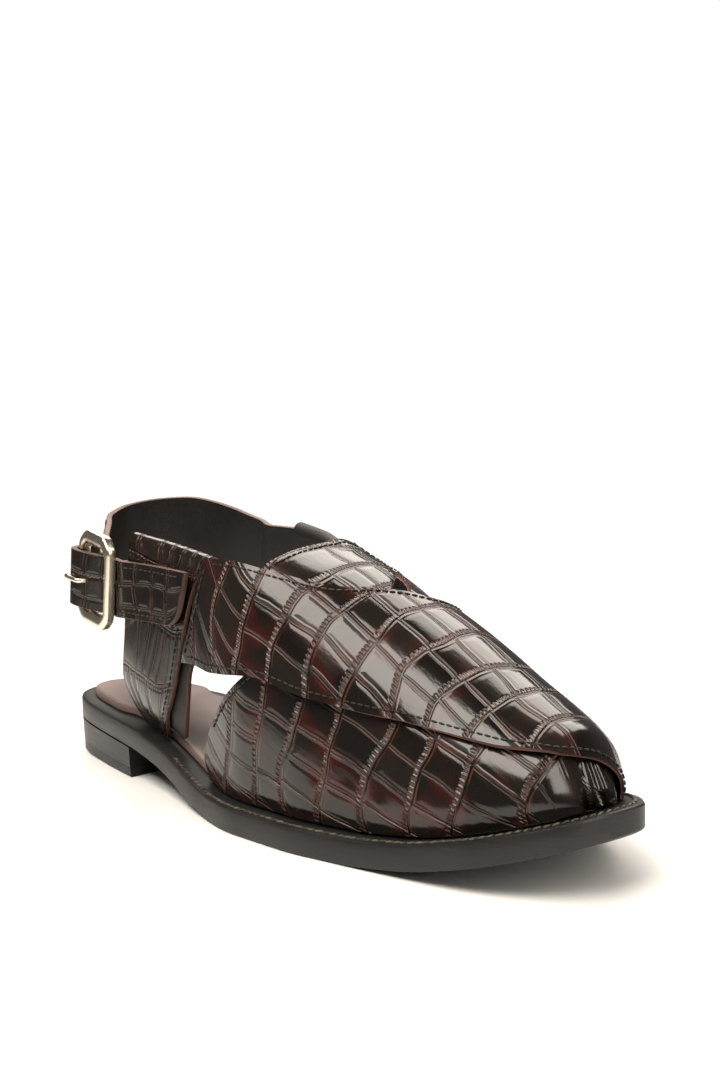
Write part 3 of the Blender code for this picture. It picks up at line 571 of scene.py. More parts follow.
class Finish:
    """Base of the finishes: one Principled material each."""

    name: str

    def start(self) -> tuple[bpy.types.Material, Graph, bpy.types.Node]:
        """New material, its graph and its shader."""
        made = bpy.data.materials.new(self.name)
        made.use_nodes = True
        graph = Graph(made.node_tree)
        return made, graph, made.node_tree.nodes["Principled BSDF"]

    def bump(self, graph: Graph, shader: bpy.types.Node, height: Value, depth: float) -> None:
        """Turn a height in metres into the shader's normal."""
        made = graph.node("ShaderNodeBump")
        made.inputs["Strength"].default_value = 1.0
        made.inputs["Distance"].default_value = depth
        graph.feed(made.inputs["Height"], height)
        graph.feed(shader.inputs["Normal"], made.outputs["Normal"])

    def place(self, graph: Graph) -> tuple[Value, Value, Value]:
        """Object coordinates in millimetres."""
        made = graph.node("ShaderNodeTexCoord")
        x, y, z = graph.split(made.outputs["Object"])
        return x * 1000.0, y * 1000.0, z * 1000.0

    def sheet_place(self, graph: Graph) -> tuple[Value, Value]:
        """Place on the leather sheet in millimetres, from the piece's own UV."""
        made = graph.node("ShaderNodeUVMap", uv_map="sheet")
        x, y, _ = graph.split(made.outputs["UV"])
        return x * 1000.0, y * 1000.0


@dataclass(frozen=True)
class CrocFinish(Finish):
    """Embossed crocodile leather: rows of glossy scales with burnished grooves.

    Args:
        name: the material's name.
        row: distance in mm between the combed grooves that run across the foot.
        scale: distance in mm between the plain grooves that join them.
        lean: how far the combed grooves lean per mm round the foot.
        slant: how far the plain grooves fall toward the sole per mm along the foot.
        comb: depth share of the short wrinkles behind the combed grooves.
        burnish: how much oxblood shows, 0 to 1.
        seed: picks another layout of the same pattern.
        calm: place along the foot in mm where the embossing fades out, at the toe.
        edge: strength of the painted highlight, a light pinkish brown beside the grooves and on the comb
            wrinkles, 0 to 1.
        turned: whether the combed grooves run along the sheet and not across it.
    """

    name: str
    row: float
    scale: float
    lean: float
    slant: float
    comb: float
    burnish: float
    seed: float = 0.0
    calm: float = 900.0
    edge: float = 1.0
    turned: bool = False

    def build(self) -> bpy.types.Material:
        """Make the material."""
        made, g, shader = self.start()
        x, y = self.sheet_place(g)
        if self.turned:
            x, y = y, x
        where = g.vector(x, y, self.seed)
        swing = g.noise(where, 1.0 / 36.0, 1.0) - 0.5
        sway = g.noise(g.vector(x + 311.0, y + 97.0, self.seed), 1.0 / 32.0, 1.0) - 0.5
        jitter = g.noise(where, 1.0 / 7.0, 1.0) - 0.5
        v = (x + swing * 13.0 + jitter * 0.8 + y * self.lean) / self.row
        row = g.math("FLOOR", v)
        in_row = v - row
        to_row = g.math("MINIMUM", in_row, 1.0 - in_row) * self.row
        around = y + sway * 8.0 + jitter * 0.9 + x * self.slant
        c = around / self.scale + g.chance(row, self.seed + 3.0) * 0.45
        cell = g.math("FLOOR", c)
        in_cell = c - cell
        nearest = g.math("ROUND", c)
        gone = g.math("LESS_THAN", g.chance(row, nearest, self.seed), 0.10)
        to_cell = g.math("MINIMUM", in_cell, 1.0 - in_cell) * self.scale + gone * 50.0
        near = g.math("MINIMUM", to_row, to_cell)
        toe = g.ramp(x, self.calm + 9.0, self.calm)
        groove = g.ramp(near, 0.58, 0.10) * toe
        ridge = g.ramp(near, 0.38, 0.75) * g.ramp(near, 1.5, 0.8) * toe
        puff = g.ramp(near, 0.2, 3.2) * toe
        side = (1.0 - in_row) * self.row
        beside = g.ramp(side, 2.9, 1.7) * g.ramp(side, 0.25, 0.6)
        stripes = g.math("SINE", around * (2 * math.pi / 1.9) + jitter * 4.0) * 0.5 + 0.5
        wrinkle = beside * stripes * toe * self.comb
        grain = g.noise(where, 1.1, 3.0, 0.6)
        fold = g.noise(g.vector(x * 0.35, y, self.seed), 0.35, 2.0)
        height = (
            puff * 0.26
            + ridge * 0.16
            - groove * 0.70
            - wrinkle * 0.42
            + grain * 0.020
            + fold * toe * 0.10
        )
        tone = g.noise(where, 1.0 / 17.0, 2.0)
        cell_tone = g.chance(row, cell, self.seed + 9.0)
        base = g.blend(cell_tone * 0.8, rgb(0.0060, 0.0046, 0.0036), rgb(0.0170, 0.0130, 0.0095))
        red = g.ramp(tone, 0.44, 0.64) * (g.ramp(near, 5.5, 0.4) * 0.75 + 0.25) * self.burnish
        red = red * (toe * 0.8 + 0.2)
        base = g.blend(red, base, rgb(0.044, 0.0078, 0.0050))
        # Painted highlight: a thin, patchy, light pinkish brown line on the ridge edges beside the grooves,
        # scaled by edge.
        rim = g.ramp(near, 1.10, 0.55) * g.ramp(near, 0.18, 0.40) * toe
        painted_highlight_tone = g.ramp(g.noise(where, 1.0 / 9.0, 1.0), 0.30, 0.62)
        base = g.blend(rim * (painted_highlight_tone * 0.55 + 0.12) * self.edge, base, rgb(0.135, 0.050, 0.033))
        # Painted highlight: a brown tint on the comb wrinkles beside the combed grooves, scaled by edge.
        base = g.blend(wrinkle * 0.35 * self.edge, base, rgb(0.095, 0.032, 0.021))
        base = g.blend(g.ramp(near, 0.48, 0.15) * toe, base, rgb(0.006, 0.0035, 0.003))
        g.feed(shader.inputs["Base Color"], base)
        rough = grain * 0.08 + 0.105 + rim * 0.10 + g.ramp(tone, 0.40, 0.70) * 0.06
        g.feed(shader.inputs["Roughness"], rough)
        shader.inputs["Specular IOR Level"].default_value = 0.50
        shader.inputs["Coat Weight"].default_value = 0.10
        shader.inputs["Coat Roughness"].default_value = 0.08
        self.bump(g, shader, height, 0.00085)
        return made


@dataclass(frozen=True)
class LeatherFinish(Finish):
    """Plain leather with grain, faint creases and worn tone."""

    name: str
    dark: tuple[float, float, float, float]
    light: tuple[float, float, float, float]
    rough: float
    grain: float = 0.00012
    coat: float = 0.0

    def build(self) -> bpy.types.Material:
        """Make the material."""
        made, g, shader = self.start()
        x, y, z = self.place(g)
        where = g.vector(x, y, z)
        tone = g.noise(where, 1.0 / 26.0, 4.0, 0.6)
        fine = g.cells(where, 1.5)
        crease = g.noise(g.vector(x * 0.25, y, z), 0.32, 3.0)
        colour = g.blend(g.ramp(tone, 0.30, 0.72), self.dark, self.light)
        colour = g.blend(g.ramp(fine, 0.05, 0.5) * 0.12, colour, self.light)
        g.feed(shader.inputs["Base Color"], colour)
        g.feed(shader.inputs["Roughness"], tone * 0.18 + fine * 0.08 + (self.rough - 0.12))
        shader.inputs["Coat Weight"].default_value = self.coat
        shader.inputs["Coat Roughness"].default_value = 0.22
        self.bump(g, shader, fine * 0.6 + crease * 0.9, self.grain)
        return made


@dataclass(frozen=True)
class SoleFinish(Finish):
    """Waxed black sole edge with burnishing lines, or its ridged top."""

    name: str
    colour: tuple[float, float, float, float]
    rough: float
    lines: float

    def build(self) -> bpy.types.Material:
        """Make the material."""
        made, g, shader = self.start()
        x, y, z = self.place(g)
        where = g.vector(x, y, z)
        tone = g.noise(where, 1.0 / 20.0, 3.0)
        drag = g.noise(g.vector(x * 0.05, y * 0.05, z), 1.3, 3.0)
        speck = g.noise(where, 2.2, 2.0)
        lifted = g.ramp(tone, 0.35, 0.75) * 0.5 + g.ramp(drag, 0.5, 0.75) * 0.25
        worn = tuple(c * 2.4 for c in self.colour[:3]) + (1.0,)
        g.feed(shader.inputs["Base Color"], g.blend(lifted, self.colour, worn))
        g.feed(shader.inputs["Roughness"], drag * 0.22 + speck * 0.06 + (self.rough - 0.12))
        shader.inputs["Specular IOR Level"].default_value = 0.42
        shader.inputs["Coat Weight"].default_value = 0.05
        shader.inputs["Coat Roughness"].default_value = 0.30
        self.bump(g, shader, drag * self.lines + speck * 0.22 + tone * 0.5, 0.00035)
        return made


@dataclass(frozen=True)
class MetalFinish(Finish):
    """Polished pale metal with faint scratches and softened tone."""

    name: str
    colour: tuple[float, float, float, float]
    rough: float

    def build(self) -> bpy.types.Material:
        """Make the material."""
        made, g, shader = self.start()
        x, y, z = self.place(g)
        where = g.vector(x, y, z)
        tone = g.noise(where, 0.25, 2.0)
        scratch = g.noise(g.vector(x * 0.3, y * 0.3, z * 4.0), 2.0, 3.0)
        warm = tuple(c * 0.82 for c in self.colour[:3]) + (1.0,)
        g.feed(shader.inputs["Base Color"], g.blend(g.ramp(tone, 0.3, 0.7) * 0.5, self.colour, warm))
        g.feed(shader.inputs["Roughness"], scratch * 0.10 + (self.rough - 0.03))
        shader.inputs["Metallic"].default_value = 1.0
        self.bump(g, shader, scratch, 0.00003)
        return made


@dataclass(frozen=True)
class ThreadFinish(Finish):
    """Waxed sewing thread."""

    name: str
    dark: tuple[float, float, float, float]
    light: tuple[float, float, float, float]
    rough: float

    def build(self) -> bpy.types.Material:
        """Make the material."""
        made, g, shader = self.start()
        x, y, z = self.place(g)
        tone = g.noise(g.vector(x, y, z), 0.45, 2.0)
        ply = g.math("SINE", (x + y * 0.8 + z) * 9.0) * 0.5 + 0.5
        g.feed(shader.inputs["Base Color"], g.blend(g.ramp(tone, 0.35, 0.65), self.dark, self.light))
        g.feed(shader.inputs["Roughness"], tone * 0.1 + self.rough)
        self.bump(g, shader, ply, 0.00012)
        return made


@dataclass(frozen=True)
class FloorFinish(Finish):
    """White studio sweep."""

    name: str = "studio_sweep"
    near: float = 150.0
    far: float = 600.0

    def build(self) -> bpy.types.Material:
        """Make the material."""
        made, g, shader = self.start()
        x, y, z = self.place(g)
        tone = g.noise(g.vector(x, y, z), 1.0 / 300.0, 2.0)
        g.feed(shader.inputs["Base Color"], g.blend(tone, rgb(0.90, 0.90, 0.885), rgb(0.94, 0.94, 0.93)))
        shader.inputs["Roughness"].default_value = 0.55
        away = g.math("SQRT", x * x + y * y)
        g.feed(shader.inputs["Alpha"], g.ramp(away, self.far, self.near))
        return made


@dataclass(frozen=True)
class GlowFinish(Finish):
    """Lit white paper beyond the floor's lit patch."""

    name: str = "white_paper"
    strength: float = 1.05

    def build(self) -> bpy.types.Material:
        """Make the material."""
        made, _, shader = self.start()
        shader.inputs["Base Color"].default_value = rgb(0.0, 0.0, 0.0)
        shader.inputs["Specular IOR Level"].default_value = 0.0
        shader.inputs["Emission Color"].default_value = rgb(1.0, 1.0, 1.0)
        shader.inputs["Emission Strength"].default_value = self.strength
        return made


class Palette:
    """Every finish, built once."""

    def __init__(self) -> None:
        """Build the materials."""
        self.cross = CrocFinish(
            "croc_cross_panel", row=15.5, scale=12.0, lean=0.0, slant=0.06, comb=1.0, burnish=0.85, seed=2.0
        ).build()
        self.vamp = CrocFinish(
            "croc_vamp", row=16.0, scale=11.5, lean=-0.15, slant=-0.14, comb=1.0, burnish=1.0, seed=5.0,
            calm=268.0,
        ).build()
        self.tongue = CrocFinish(
            "croc_tongue", row=14.0, scale=12.0, lean=0.0, slant=0.06, comb=0.9, burnish=0.7, seed=7.0
        ).build()
        self.strap = CrocFinish(
            "croc_side_strap", row=24.0, scale=7.0, lean=0.02, slant=0.04, comb=0.8, burnish=0.25, seed=11.0,
            edge=0.5, turned=True,
        ).build()
        self.band = CrocFinish(
            "croc_heel_strap", row=14.5, scale=9.5, lean=0.0, slant=0.05, comb=0.8, burnish=0.25, seed=17.0,
            edge=0.4, turned=True,
        ).build()
        self.lining = LeatherFinish(
            "dark_lining", rgb(0.0060, 0.0048, 0.0042), rgb(0.0150, 0.0115, 0.0100), 0.56
        ).build()
        self.raw = LeatherFinish(
            "raw_edge", rgb(0.048, 0.020, 0.015), rgb(0.175, 0.083, 0.064), 0.50, 0.00020
        ).build()
        self.rolled = LeatherFinish(
            "strap_edge", rgb(0.075, 0.040, 0.030), rgb(0.200, 0.120, 0.095), 0.52, 0.00020
        ).build()
        self.insole = LeatherFinish(
            "insole_leather", rgb(0.155, 0.108, 0.098), rgb(0.235, 0.172, 0.158), 0.46, 0.00008, 0.10
        ).build()
        self.sole = SoleFinish("sole_edge", rgb(0.0070, 0.0065, 0.0064), 0.42, 0.22).build()
        self.heel = SoleFinish("heel_stack", rgb(0.0085, 0.0075, 0.0072), 0.44, 0.40).build()
        self.welt = SoleFinish("welt_top", rgb(0.0062, 0.0064, 0.0058), 0.46, 0.3).build()
        self.metal = MetalFinish("pale_nickel", rgb(0.93, 0.83, 0.66), 0.20).build()
        self.black_thread = ThreadFinish(
            "black_thread", rgb(0.006, 0.005, 0.005), rgb(0.020, 0.016, 0.014), 0.38
        ).build()
        self.welt_thread = ThreadFinish(
            "welt_thread", rgb(0.022, 0.018, 0.013), rgb(0.130, 0.104, 0.070), 0.50
        ).build()
        self.floor = FloorFinish().build()
        self.paper = GlowFinish().build()


def trace(rows: Sequence[Sequence[float]], step: float) -> list[Vector]:
    """Smooth curve through an edge table, as points in run and turn.

    Args:
        rows: share of LENGTH and turn of each knot.
        step: distance between the points.

    Returns:
        Points whose y is the turn times SPAN.
    """
    points = [Vector((row[0] * LENGTH, row[1] * SPAN)) for row in rows]
    ends = [points[0] * 2 - points[1]] + points + [points[-1] * 2 - points[-2]]
    curve = []
    for before, start, stop, after in zip(ends, ends[1:], ends[2:], ends[3:]):
        count = max(1, round((stop - start).length / step))
        for k in range(count):
            t = k / count
            curve.append(
                0.5
                * (
                    2 * start
                    + (stop - before) * t
                    + (2 * before - 5 * start + 4 * stop - after) * t**2
                    + (3 * start - before - 3 * stop + after) * t**3
                )
            )
    curve.append(points[-1])
    return curve


def straight(start: Sequence[float], stop: Sequence[float], step: float) -> list[Vector]:
    """Straight edge in run and turn, without its last point."""
    start, stop = Vector(start), Vector(stop)
    count = max(1, round((stop - start).length / step))
    return [start.lerp(stop, k / count) for k in range(count)]


def tidy_loop(points: Sequence[Vector]) -> list[Vector]:
    """Closed loop without repeated points."""
    loop: list[Vector] = []
    for point in points:
        place = Vector((point.x, min(max(point.y, 0.0), SPAN)))
        if not loop or (place - loop[-1]).length > 1e-5:
            loop.append(place)
    if (loop[0] - loop[-1]).length < 1e-5:
        loop.pop()
    return loop


def inside_mask(spots: np.ndarray, loop: np.ndarray) -> tuple[np.ndarray, np.ndarray]:
    """Which spots lie inside a loop, and how far each is from it."""
    a = loop
    b = np.roll(loop, -1, axis=0)
    px, py = spots[:, 0:1], spots[:, 1:2]
    crosses = (a[:, 1] > py) != (b[:, 1] > py)
    rise = np.where(b[:, 1] == a[:, 1], 1e-12, b[:, 1] - a[:, 1])
    hit = crosses & (px < a[:, 0] + (py - a[:, 1]) / rise * (b[:, 0] - a[:, 0]))
    edge = b - a
    square = (edge**2).sum(1)
    t = np.clip(((px - a[:, 0]) * edge[:, 0] + (py - a[:, 1]) * edge[:, 1]) / square, 0, 1)
    dx = px - a[:, 0] - t * edge[:, 0]
    dy = py - a[:, 1] - t * edge[:, 1]
    return hit.sum(1) % 2 == 1, np.sqrt((dx**2 + dy**2).min(1))


def make_object(
    name: str,
    vertices: np.ndarray,
    faces: Sequence[Sequence[int]],
    finishes: Sequence[bpy.types.Material],
    slots: Optional[Sequence[int]] = None,
    sheet_uv: Optional[np.ndarray] = None,
    sharp: float = 40.0,
) -> bpy.types.Object:
    """Closed mesh object in the row frame.

    Args:
        name: the object's name.
        vertices: points in the heel frame.
        faces: corners of each face.
        finishes: materials.
        slots: material of each face.
        sheet_uv: place of each vertex on the leather sheet.
        sharp: edges bent by more degrees than this are drawn sharp.

    Returns:
        The linked object.
    """
    mesh = bpy.data.meshes.new(name)
    mesh.from_pydata([tuple(v) for v in np.asarray(vertices) + SHIFT], [], [tuple(f) for f in faces])
    for finish in finishes:
        mesh.materials.append(finish)
    if slots is not None:
        mesh.polygons.foreach_set("material_index", list(slots))
    if sheet_uv is not None:
        layer = mesh.uv_layers.new(name="sheet")
        corners = np.zeros(len(mesh.loops), int)
        mesh.loops.foreach_get("vertex_index", corners)
        layer.data.foreach_set("uv", np.asarray(sheet_uv, np.float32)[corners].ravel())
    work = bmesh.new()
    work.from_mesh(mesh)
    bmesh.ops.recalc_face_normals(work, faces=work.faces)
    if work.calc_volume(signed=True) < 0:
        bmesh.ops.reverse_faces(work, faces=work.faces)
    work.to_mesh(mesh)
    work.free()
    mesh.shade_smooth()
    mesh.set_sharp_from_angle(angle=math.radians(sharp))
    made = bpy.data.objects.new(name, mesh)
    bpy.context.scene.collection.objects.link(made)
    return made


@dataclass
class Panel:
    """One leather panel cut from the last's surface.

    Args:
        name: the piece's name.
        loop: its edge in run and turn.
        outer: distance of its grain side off the last.
        wall: thickness of the leather.
        finish: material of the grain side.
        relief: extra distance off the last at a run and turn, for pleats and creases.
    """

    name: str
    loop: list[Vector]
    outer: float
    wall: float
    finish: bpy.types.Material
    relief: Optional[Callable[[np.ndarray, np.ndarray], np.ndarray]] = None

    def build(self, step: float, palette: Palette) -> bpy.types.Object:
        """Make the closed panel with a rounded cut edge."""
        loop = np.array([tuple(p) for p in tidy_loop(self.loop)])
        low, high = loop.min(0), loop.max(0)
        head = np.array([0.08, 0.24, 0.50, 0.95]) * 0.0068
        body = np.arange(head[-1] + step, SPAN - head[-1] - 0.5 * step, step * 0.87)
        levels = np.concatenate([head, body, (SPAN - head)[::-1]])
        spots, gaps = [], []
        for k, y in enumerate(levels):
            row = np.arange(low[0] + (0.5 * step if k % 2 else 0.0), high[0], step)
            spots.append(np.stack([row, np.full(len(row), y)], -1))
            gaps.append(np.full(len(row), min(0.45 * step, 0.7 * min(y, SPAN - y))))
        spots, gaps = np.concatenate(spots), np.concatenate(gaps)
        hit, near = inside_mask(spots, loop)
        spots = spots[hit & (near > gaps)]
        places = [Vector(p) for p in np.concatenate([loop, spots])]
        flat, _, triangles, *_ = delaunay_2d_cdt(places, [], [list(range(len(loop)))], 1, 1e-7)
        run = np.array([p.x for p in flat])
        turn = np.array([p.y for p in flat]) / SPAN
        thin = 1.0 - 0.45 * np.clip((run / LENGTH - 0.90) / 0.06, 0.0, 1.0)
        extra = self.relief(run, turn) if self.relief else 0.0 * run
        edges: dict[tuple[int, int], bool] = {}
        for t in triangles:
            for a, b in zip(t, t[1:] + t[:1]):
                edges[(a, b)] = True
        follow = {a: b for a, b in edges if (b, a) not in edges}
        first = next(iter(follow))
        rim = [first]
        while follow[rim[-1]] != first:
            rim.append(follow[rim[-1]])
        top = LAST.shell(run, turn, self.outer + extra)
        base = LAST.shell(run, turn, self.outer - self.wall * thin + extra * 0.6)
        count = len(flat)
        edge_top, edge_base = top[rim], base[rim]
        along = np.roll(edge_top, -1, 0) - np.roll(edge_top, 1, 0)
        along /= np.maximum(np.linalg.norm(along, axis=1, keepdims=True), 1e-9)
        out = np.cross(along, edge_top - edge_base)
        out /= np.maximum(np.linalg.norm(out, axis=1, keepdims=True), 1e-9)
        chord = np.array([self._chord(rim, k, top) for k in range(len(rim))])
        if np.median(((edge_top - chord) * out).sum(1)) < 0:
            out = -out
        thick = np.linalg.norm(edge_top - edge_base, axis=1, keepdims=True)
        rings, starts = [], []
        for share, bulge in ((0.12, 0.10), (0.5, 0.16), (0.88, 0.10)):
            ring = edge_top + (edge_base - edge_top) * share + out * thick * bulge
            floor = sole_top(ring[:, 0]) + CLEARANCE
            ring[:, 2] = np.maximum(ring[:, 2], floor)
            starts.append(2 * count + len(rings) * len(rim))
            rings.append(ring)
        vertices = np.concatenate([top, base] + rings)
        sheet = np.stack([run, LAST.arc(run, turn)], -1)
        uv = np.concatenate([sheet, sheet] + [sheet[rim]] * len(rings))
        faces = [tuple(t) for t in triangles]
        faces += [tuple(k + count for k in reversed(t)) for t in triangles]
        slots = [0] * len(triangles) + [1] * len(triangles)
        chain = [list(rim)] + [[s + k for k in range(len(rim))] for s in starts]
        chain.append([k + count for k in rim])
        for above, below in zip(chain, chain[1:]):
            for k in range(len(rim)):
                n = (k + 1) % len(rim)
                faces.append((above[n], above[k], below[k], below[n]))
                slots.append(2)
        finishes = (self.finish, palette.lining, palette.raw)
        return make_object(self.name, vertices, faces, finishes, slots, uv, 55.0)

    @staticmethod
    def _chord(rim: list[int], k: int, top: np.ndarray) -> np.ndarray:
        """Middle of the chord across three edge points each way, inside where the edge is convex."""
        ahead = top[rim[(k + 3) % len(rim)]]
        behind = top[rim[k - 3]]
        return 0.5 * (ahead + behind)


@dataclass
class Band:
    """Strap made from a grid of points on its middle surface.

    Args:
        name: the piece's name.
        grid: rows of points along the strap, each across it.
        wall: thickness.
        face: material of the side the normals point to.
        back: material of the other side.
        edge: material of the cut edge.
        origin: place of the first corner on the leather sheet.
        plain_from: first point across from which both sides take one material.
        plain_slot: which of the materials that is.
    """

    name: str
    grid: np.ndarray
    wall: float
    face: bpy.types.Material
    back: bpy.types.Material
    edge: bpy.types.Material
    origin: tuple[float, float] = (0.0, 0.0)
    plain_from: Optional[int] = None
    plain_slot: int = 1

    def build(self) -> bpy.types.Object:
        """Make the closed strap with rounded edges."""
        grid = np.asarray(self.grid, float)
        rows, cols = grid.shape[:2]
        along = np.gradient(grid, axis=0)
        across = np.gradient(grid, axis=1)
        normal = np.cross(along, across)
        normal /= np.linalg.norm(normal, axis=-1, keepdims=True)
        size = rows * cols
        run = np.concatenate([[0], np.cumsum(np.linalg.norm(np.diff(grid[:, cols // 2], axis=0), axis=1))])
        wide = np.concatenate([[0], np.cumsum(np.linalg.norm(np.diff(grid[rows // 2], axis=0), axis=1))])
        sheet = np.stack(np.meshgrid(run + self.origin[0], wide + self.origin[1], indexing="ij"), -1)
        sheet = sheet.reshape(-1, 2)
        top = (grid + normal * self.wall * 0.5).reshape(-1, 3)
        base = (grid - normal * self.wall * 0.5).reshape(-1, 3)
        rim = [i * cols for i in range(rows)]
        rim += [(rows - 1) * cols + j for j in range(1, cols)]
        rim += [i * cols + cols - 1 for i in range(rows - 2, -1, -1)]
        rim += [j for j in range(cols - 2, 0, -1)]
        middle = grid.reshape(-1, 3)[rim]
        neighbour = []
        for index in rim:
            i, j = divmod(index, cols)
            step_i = 1 if i == 0 else (-1 if i == rows - 1 else 0)
            step_j = 1 if j == 0 else (-1 if j == cols - 1 else 0)
            neighbour.append(grid[i + step_i, j + step_j])
        out = middle - np.array(neighbour)
        out /= np.maximum(np.linalg.norm(out, axis=1, keepdims=True), 1e-9)
        rings = []
        for share, bulge in ((0.12, 0.08), (0.5, 0.15), (0.88, 0.08)):
            rings.append(top[rim] + (base[rim] - top[rim]) * share + out * self.wall * bulge)
        vertices = np.concatenate([top, base] + rings)
        uv = np.concatenate([sheet, sheet] + [sheet[rim]] * 3)
        faces, slots = [], []
        for i in range(rows - 1):
            for j in range(cols - 1):
                a = i * cols + j
                quad = (a, a + cols, a + cols + 1, a + 1)
                faces += [quad, tuple(k + size for k in reversed(quad))]
                plain = self.plain_from is not None and j >= self.plain_from
                slots += [self.plain_slot] * 2 if plain else [0, 1]
        chain = [list(rim)] + [[2 * size + r * len(rim) + k for k in range(len(rim))] for r in range(3)]
        chain.append([k + size for k in rim])
        for above, below in zip(chain, chain[1:]):
            for k in range(len(rim)):
                n = (k + 1) % len(rim)
                faces.append((above[n], above[k], below[k], below[n]))
                slots.append(2)
        return make_object(self.name, vertices, faces, (self.face, self.back, self.edge), slots, uv, 55.0)


class StitchTree:
    """Geometry node tree that sews short stitches along a line."""

    def __init__(self, finish: bpy.types.Material) -> None:
        """Build the tree.

        Args:
            finish: the thread's material.
        """
        tree = bpy.data.node_groups.new("stitch_row_" + finish.name, "GeometryNodeTree")
        face = tree.interface
        face.new_socket("Geometry", in_out="INPUT", socket_type="NodeSocketGeometry")
        for name in ("Spacing", "Length", "Radius", "Lean"):
            face.new_socket(name, in_out="INPUT", socket_type="NodeSocketFloat")
        face.new_socket("Geometry", in_out="OUTPUT", socket_type="NodeSocketGeometry")
        g = Graph(tree)
        given = g.node("NodeGroupInput")
        result = g.node("NodeGroupOutput")
        line = g.node("GeometryNodeMeshToCurve")
        g.feed(line.inputs["Mesh"], given.outputs["Geometry"])
        points = g.node("GeometryNodeCurveToPoints", mode="LENGTH")
        g.feed(points.inputs["Curve"], line.outputs["Curve"])
        g.feed(points.inputs["Length"], given.outputs["Spacing"])
        bead = g.node("GeometryNodeMeshUVSphere")
        bead.inputs["Segments"].default_value = 8
        bead.inputs["Rings"].default_value = 6
        bead.inputs["Radius"].default_value = 1.0
        shape = g.node("GeometryNodeTransform")
        g.feed(shape.inputs["Geometry"], bead.outputs["Mesh"])
        half = Value(g, given.outputs["Length"]) * 0.5
        g.feed(shape.inputs["Scale"], g.vector(given.outputs["Radius"], given.outputs["Radius"], half))
        turned = g.node("GeometryNodeTransform")
        g.feed(turned.inputs["Geometry"], shape.outputs["Geometry"])
        g.feed(turned.inputs["Rotation"], g.vector(0.0, given.outputs["Lean"], 0.0))
        upright = g.node("FunctionNodeAlignRotationToVector", axis="Y", pivot_axis="Z")
        g.feed(upright.inputs["Rotation"], points.outputs["Rotation"])
        upright.inputs["Vector"].default_value = (0.0, 0.0, 1.0)
        place = g.node("GeometryNodeInstanceOnPoints")
        g.feed(place.inputs["Points"], points.outputs["Points"])
        g.feed(place.inputs["Instance"], turned.outputs["Geometry"])
        g.feed(place.inputs["Rotation"], upright.outputs["Rotation"])
        real = g.node("GeometryNodeRealizeInstances")
        g.feed(real.inputs["Geometry"], place.outputs["Instances"])
        paint = g.node("GeometryNodeSetMaterial")
        paint.inputs["Material"].default_value = finish
        g.feed(paint.inputs["Geometry"], real.outputs["Geometry"])
        g.feed(result.inputs["Geometry"], paint.outputs["Geometry"])
        self.tree = tree
        self.finish = finish

    def sew(self, name: str, lines: Sequence[np.ndarray], sizes: dict[str, float]) -> bpy.types.Object:
        """Sew stitches along lines of points in the heel frame.

        Args:
            name: the piece's name.
            lines: each an array of points.
            sizes: Spacing, Length, Radius and Lean.

        Returns:
            One mesh object with every stitch.
        """
        vertices, edges = [], []
        for points in lines:
            start = len(vertices)
            vertices += [tuple(p) for p in np.asarray(points) + SHIFT]
            edges += [(start + k, start + k + 1) for k in range(len(points) - 1)]
        mesh = bpy.data.meshes.new(name + "_line")
        mesh.from_pydata(vertices, edges, [])
        made = bpy.data.objects.new(name, mesh)
        bpy.context.scene.collection.objects.link(made)
        modifier = made.modifiers.new("stitches", "NODES")
        modifier.node_group = self.tree
        for item in self.tree.interface.items_tree:
            if item.item_type == "SOCKET" and item.in_out == "INPUT" and item.name in sizes:
                modifier[item.identifier] = float(sizes[item.name])
        graph = bpy.context.evaluated_depsgraph_get()
        fixed = bpy.data.meshes.new_from_object(made.evaluated_get(graph), depsgraph=graph)
        made.modifiers.remove(modifier)
        made.data = fixed
        fixed.shade_smooth()
        if not fixed.materials:
            fixed.materials.append(self.finish)
        return made


def edge_line(
    rows: Sequence[Sequence[float]], inset: float, offset: float, trim: tuple[int, int]
) -> np.ndarray:
    """Line on the leather beside a panel's edge.

    Args:
        rows: the edge's table.
        inset: distance from the edge; its sign picks the side.
        offset: distance off the last.
        trim: points left out at the start and the end.

    Returns:
        Points of the line in the heel frame.
    """
    curve = np.array([tuple(p) for p in trace(rows, 0.0020)])
    along = np.gradient(curve, axis=0)
    side = np.stack([-along[:, 1], along[:, 0]], -1)
    side /= np.linalg.norm(side, axis=1, keepdims=True)
    probe = curve + side * 0.001
    here = LAST.point(curve[:, 0], curve[:, 1] / SPAN)
    there = LAST.point(probe[:, 0], np.clip(probe[:, 1] / SPAN, 0, 1))
    stretch = np.maximum(np.linalg.norm(there - here, axis=1), 2e-4) / 0.001
    moved = curve + side * (inset / stretch)[:, None]
    turn = np.clip(moved[:, 1] / SPAN, 0.003, 0.997)
    run = np.minimum(moved[:, 0], LAST.run_end - 0.002)
    line = LAST.shell(run, turn, np.full(len(run), offset))
    return line[trim[0] : len(line) - trim[1]]


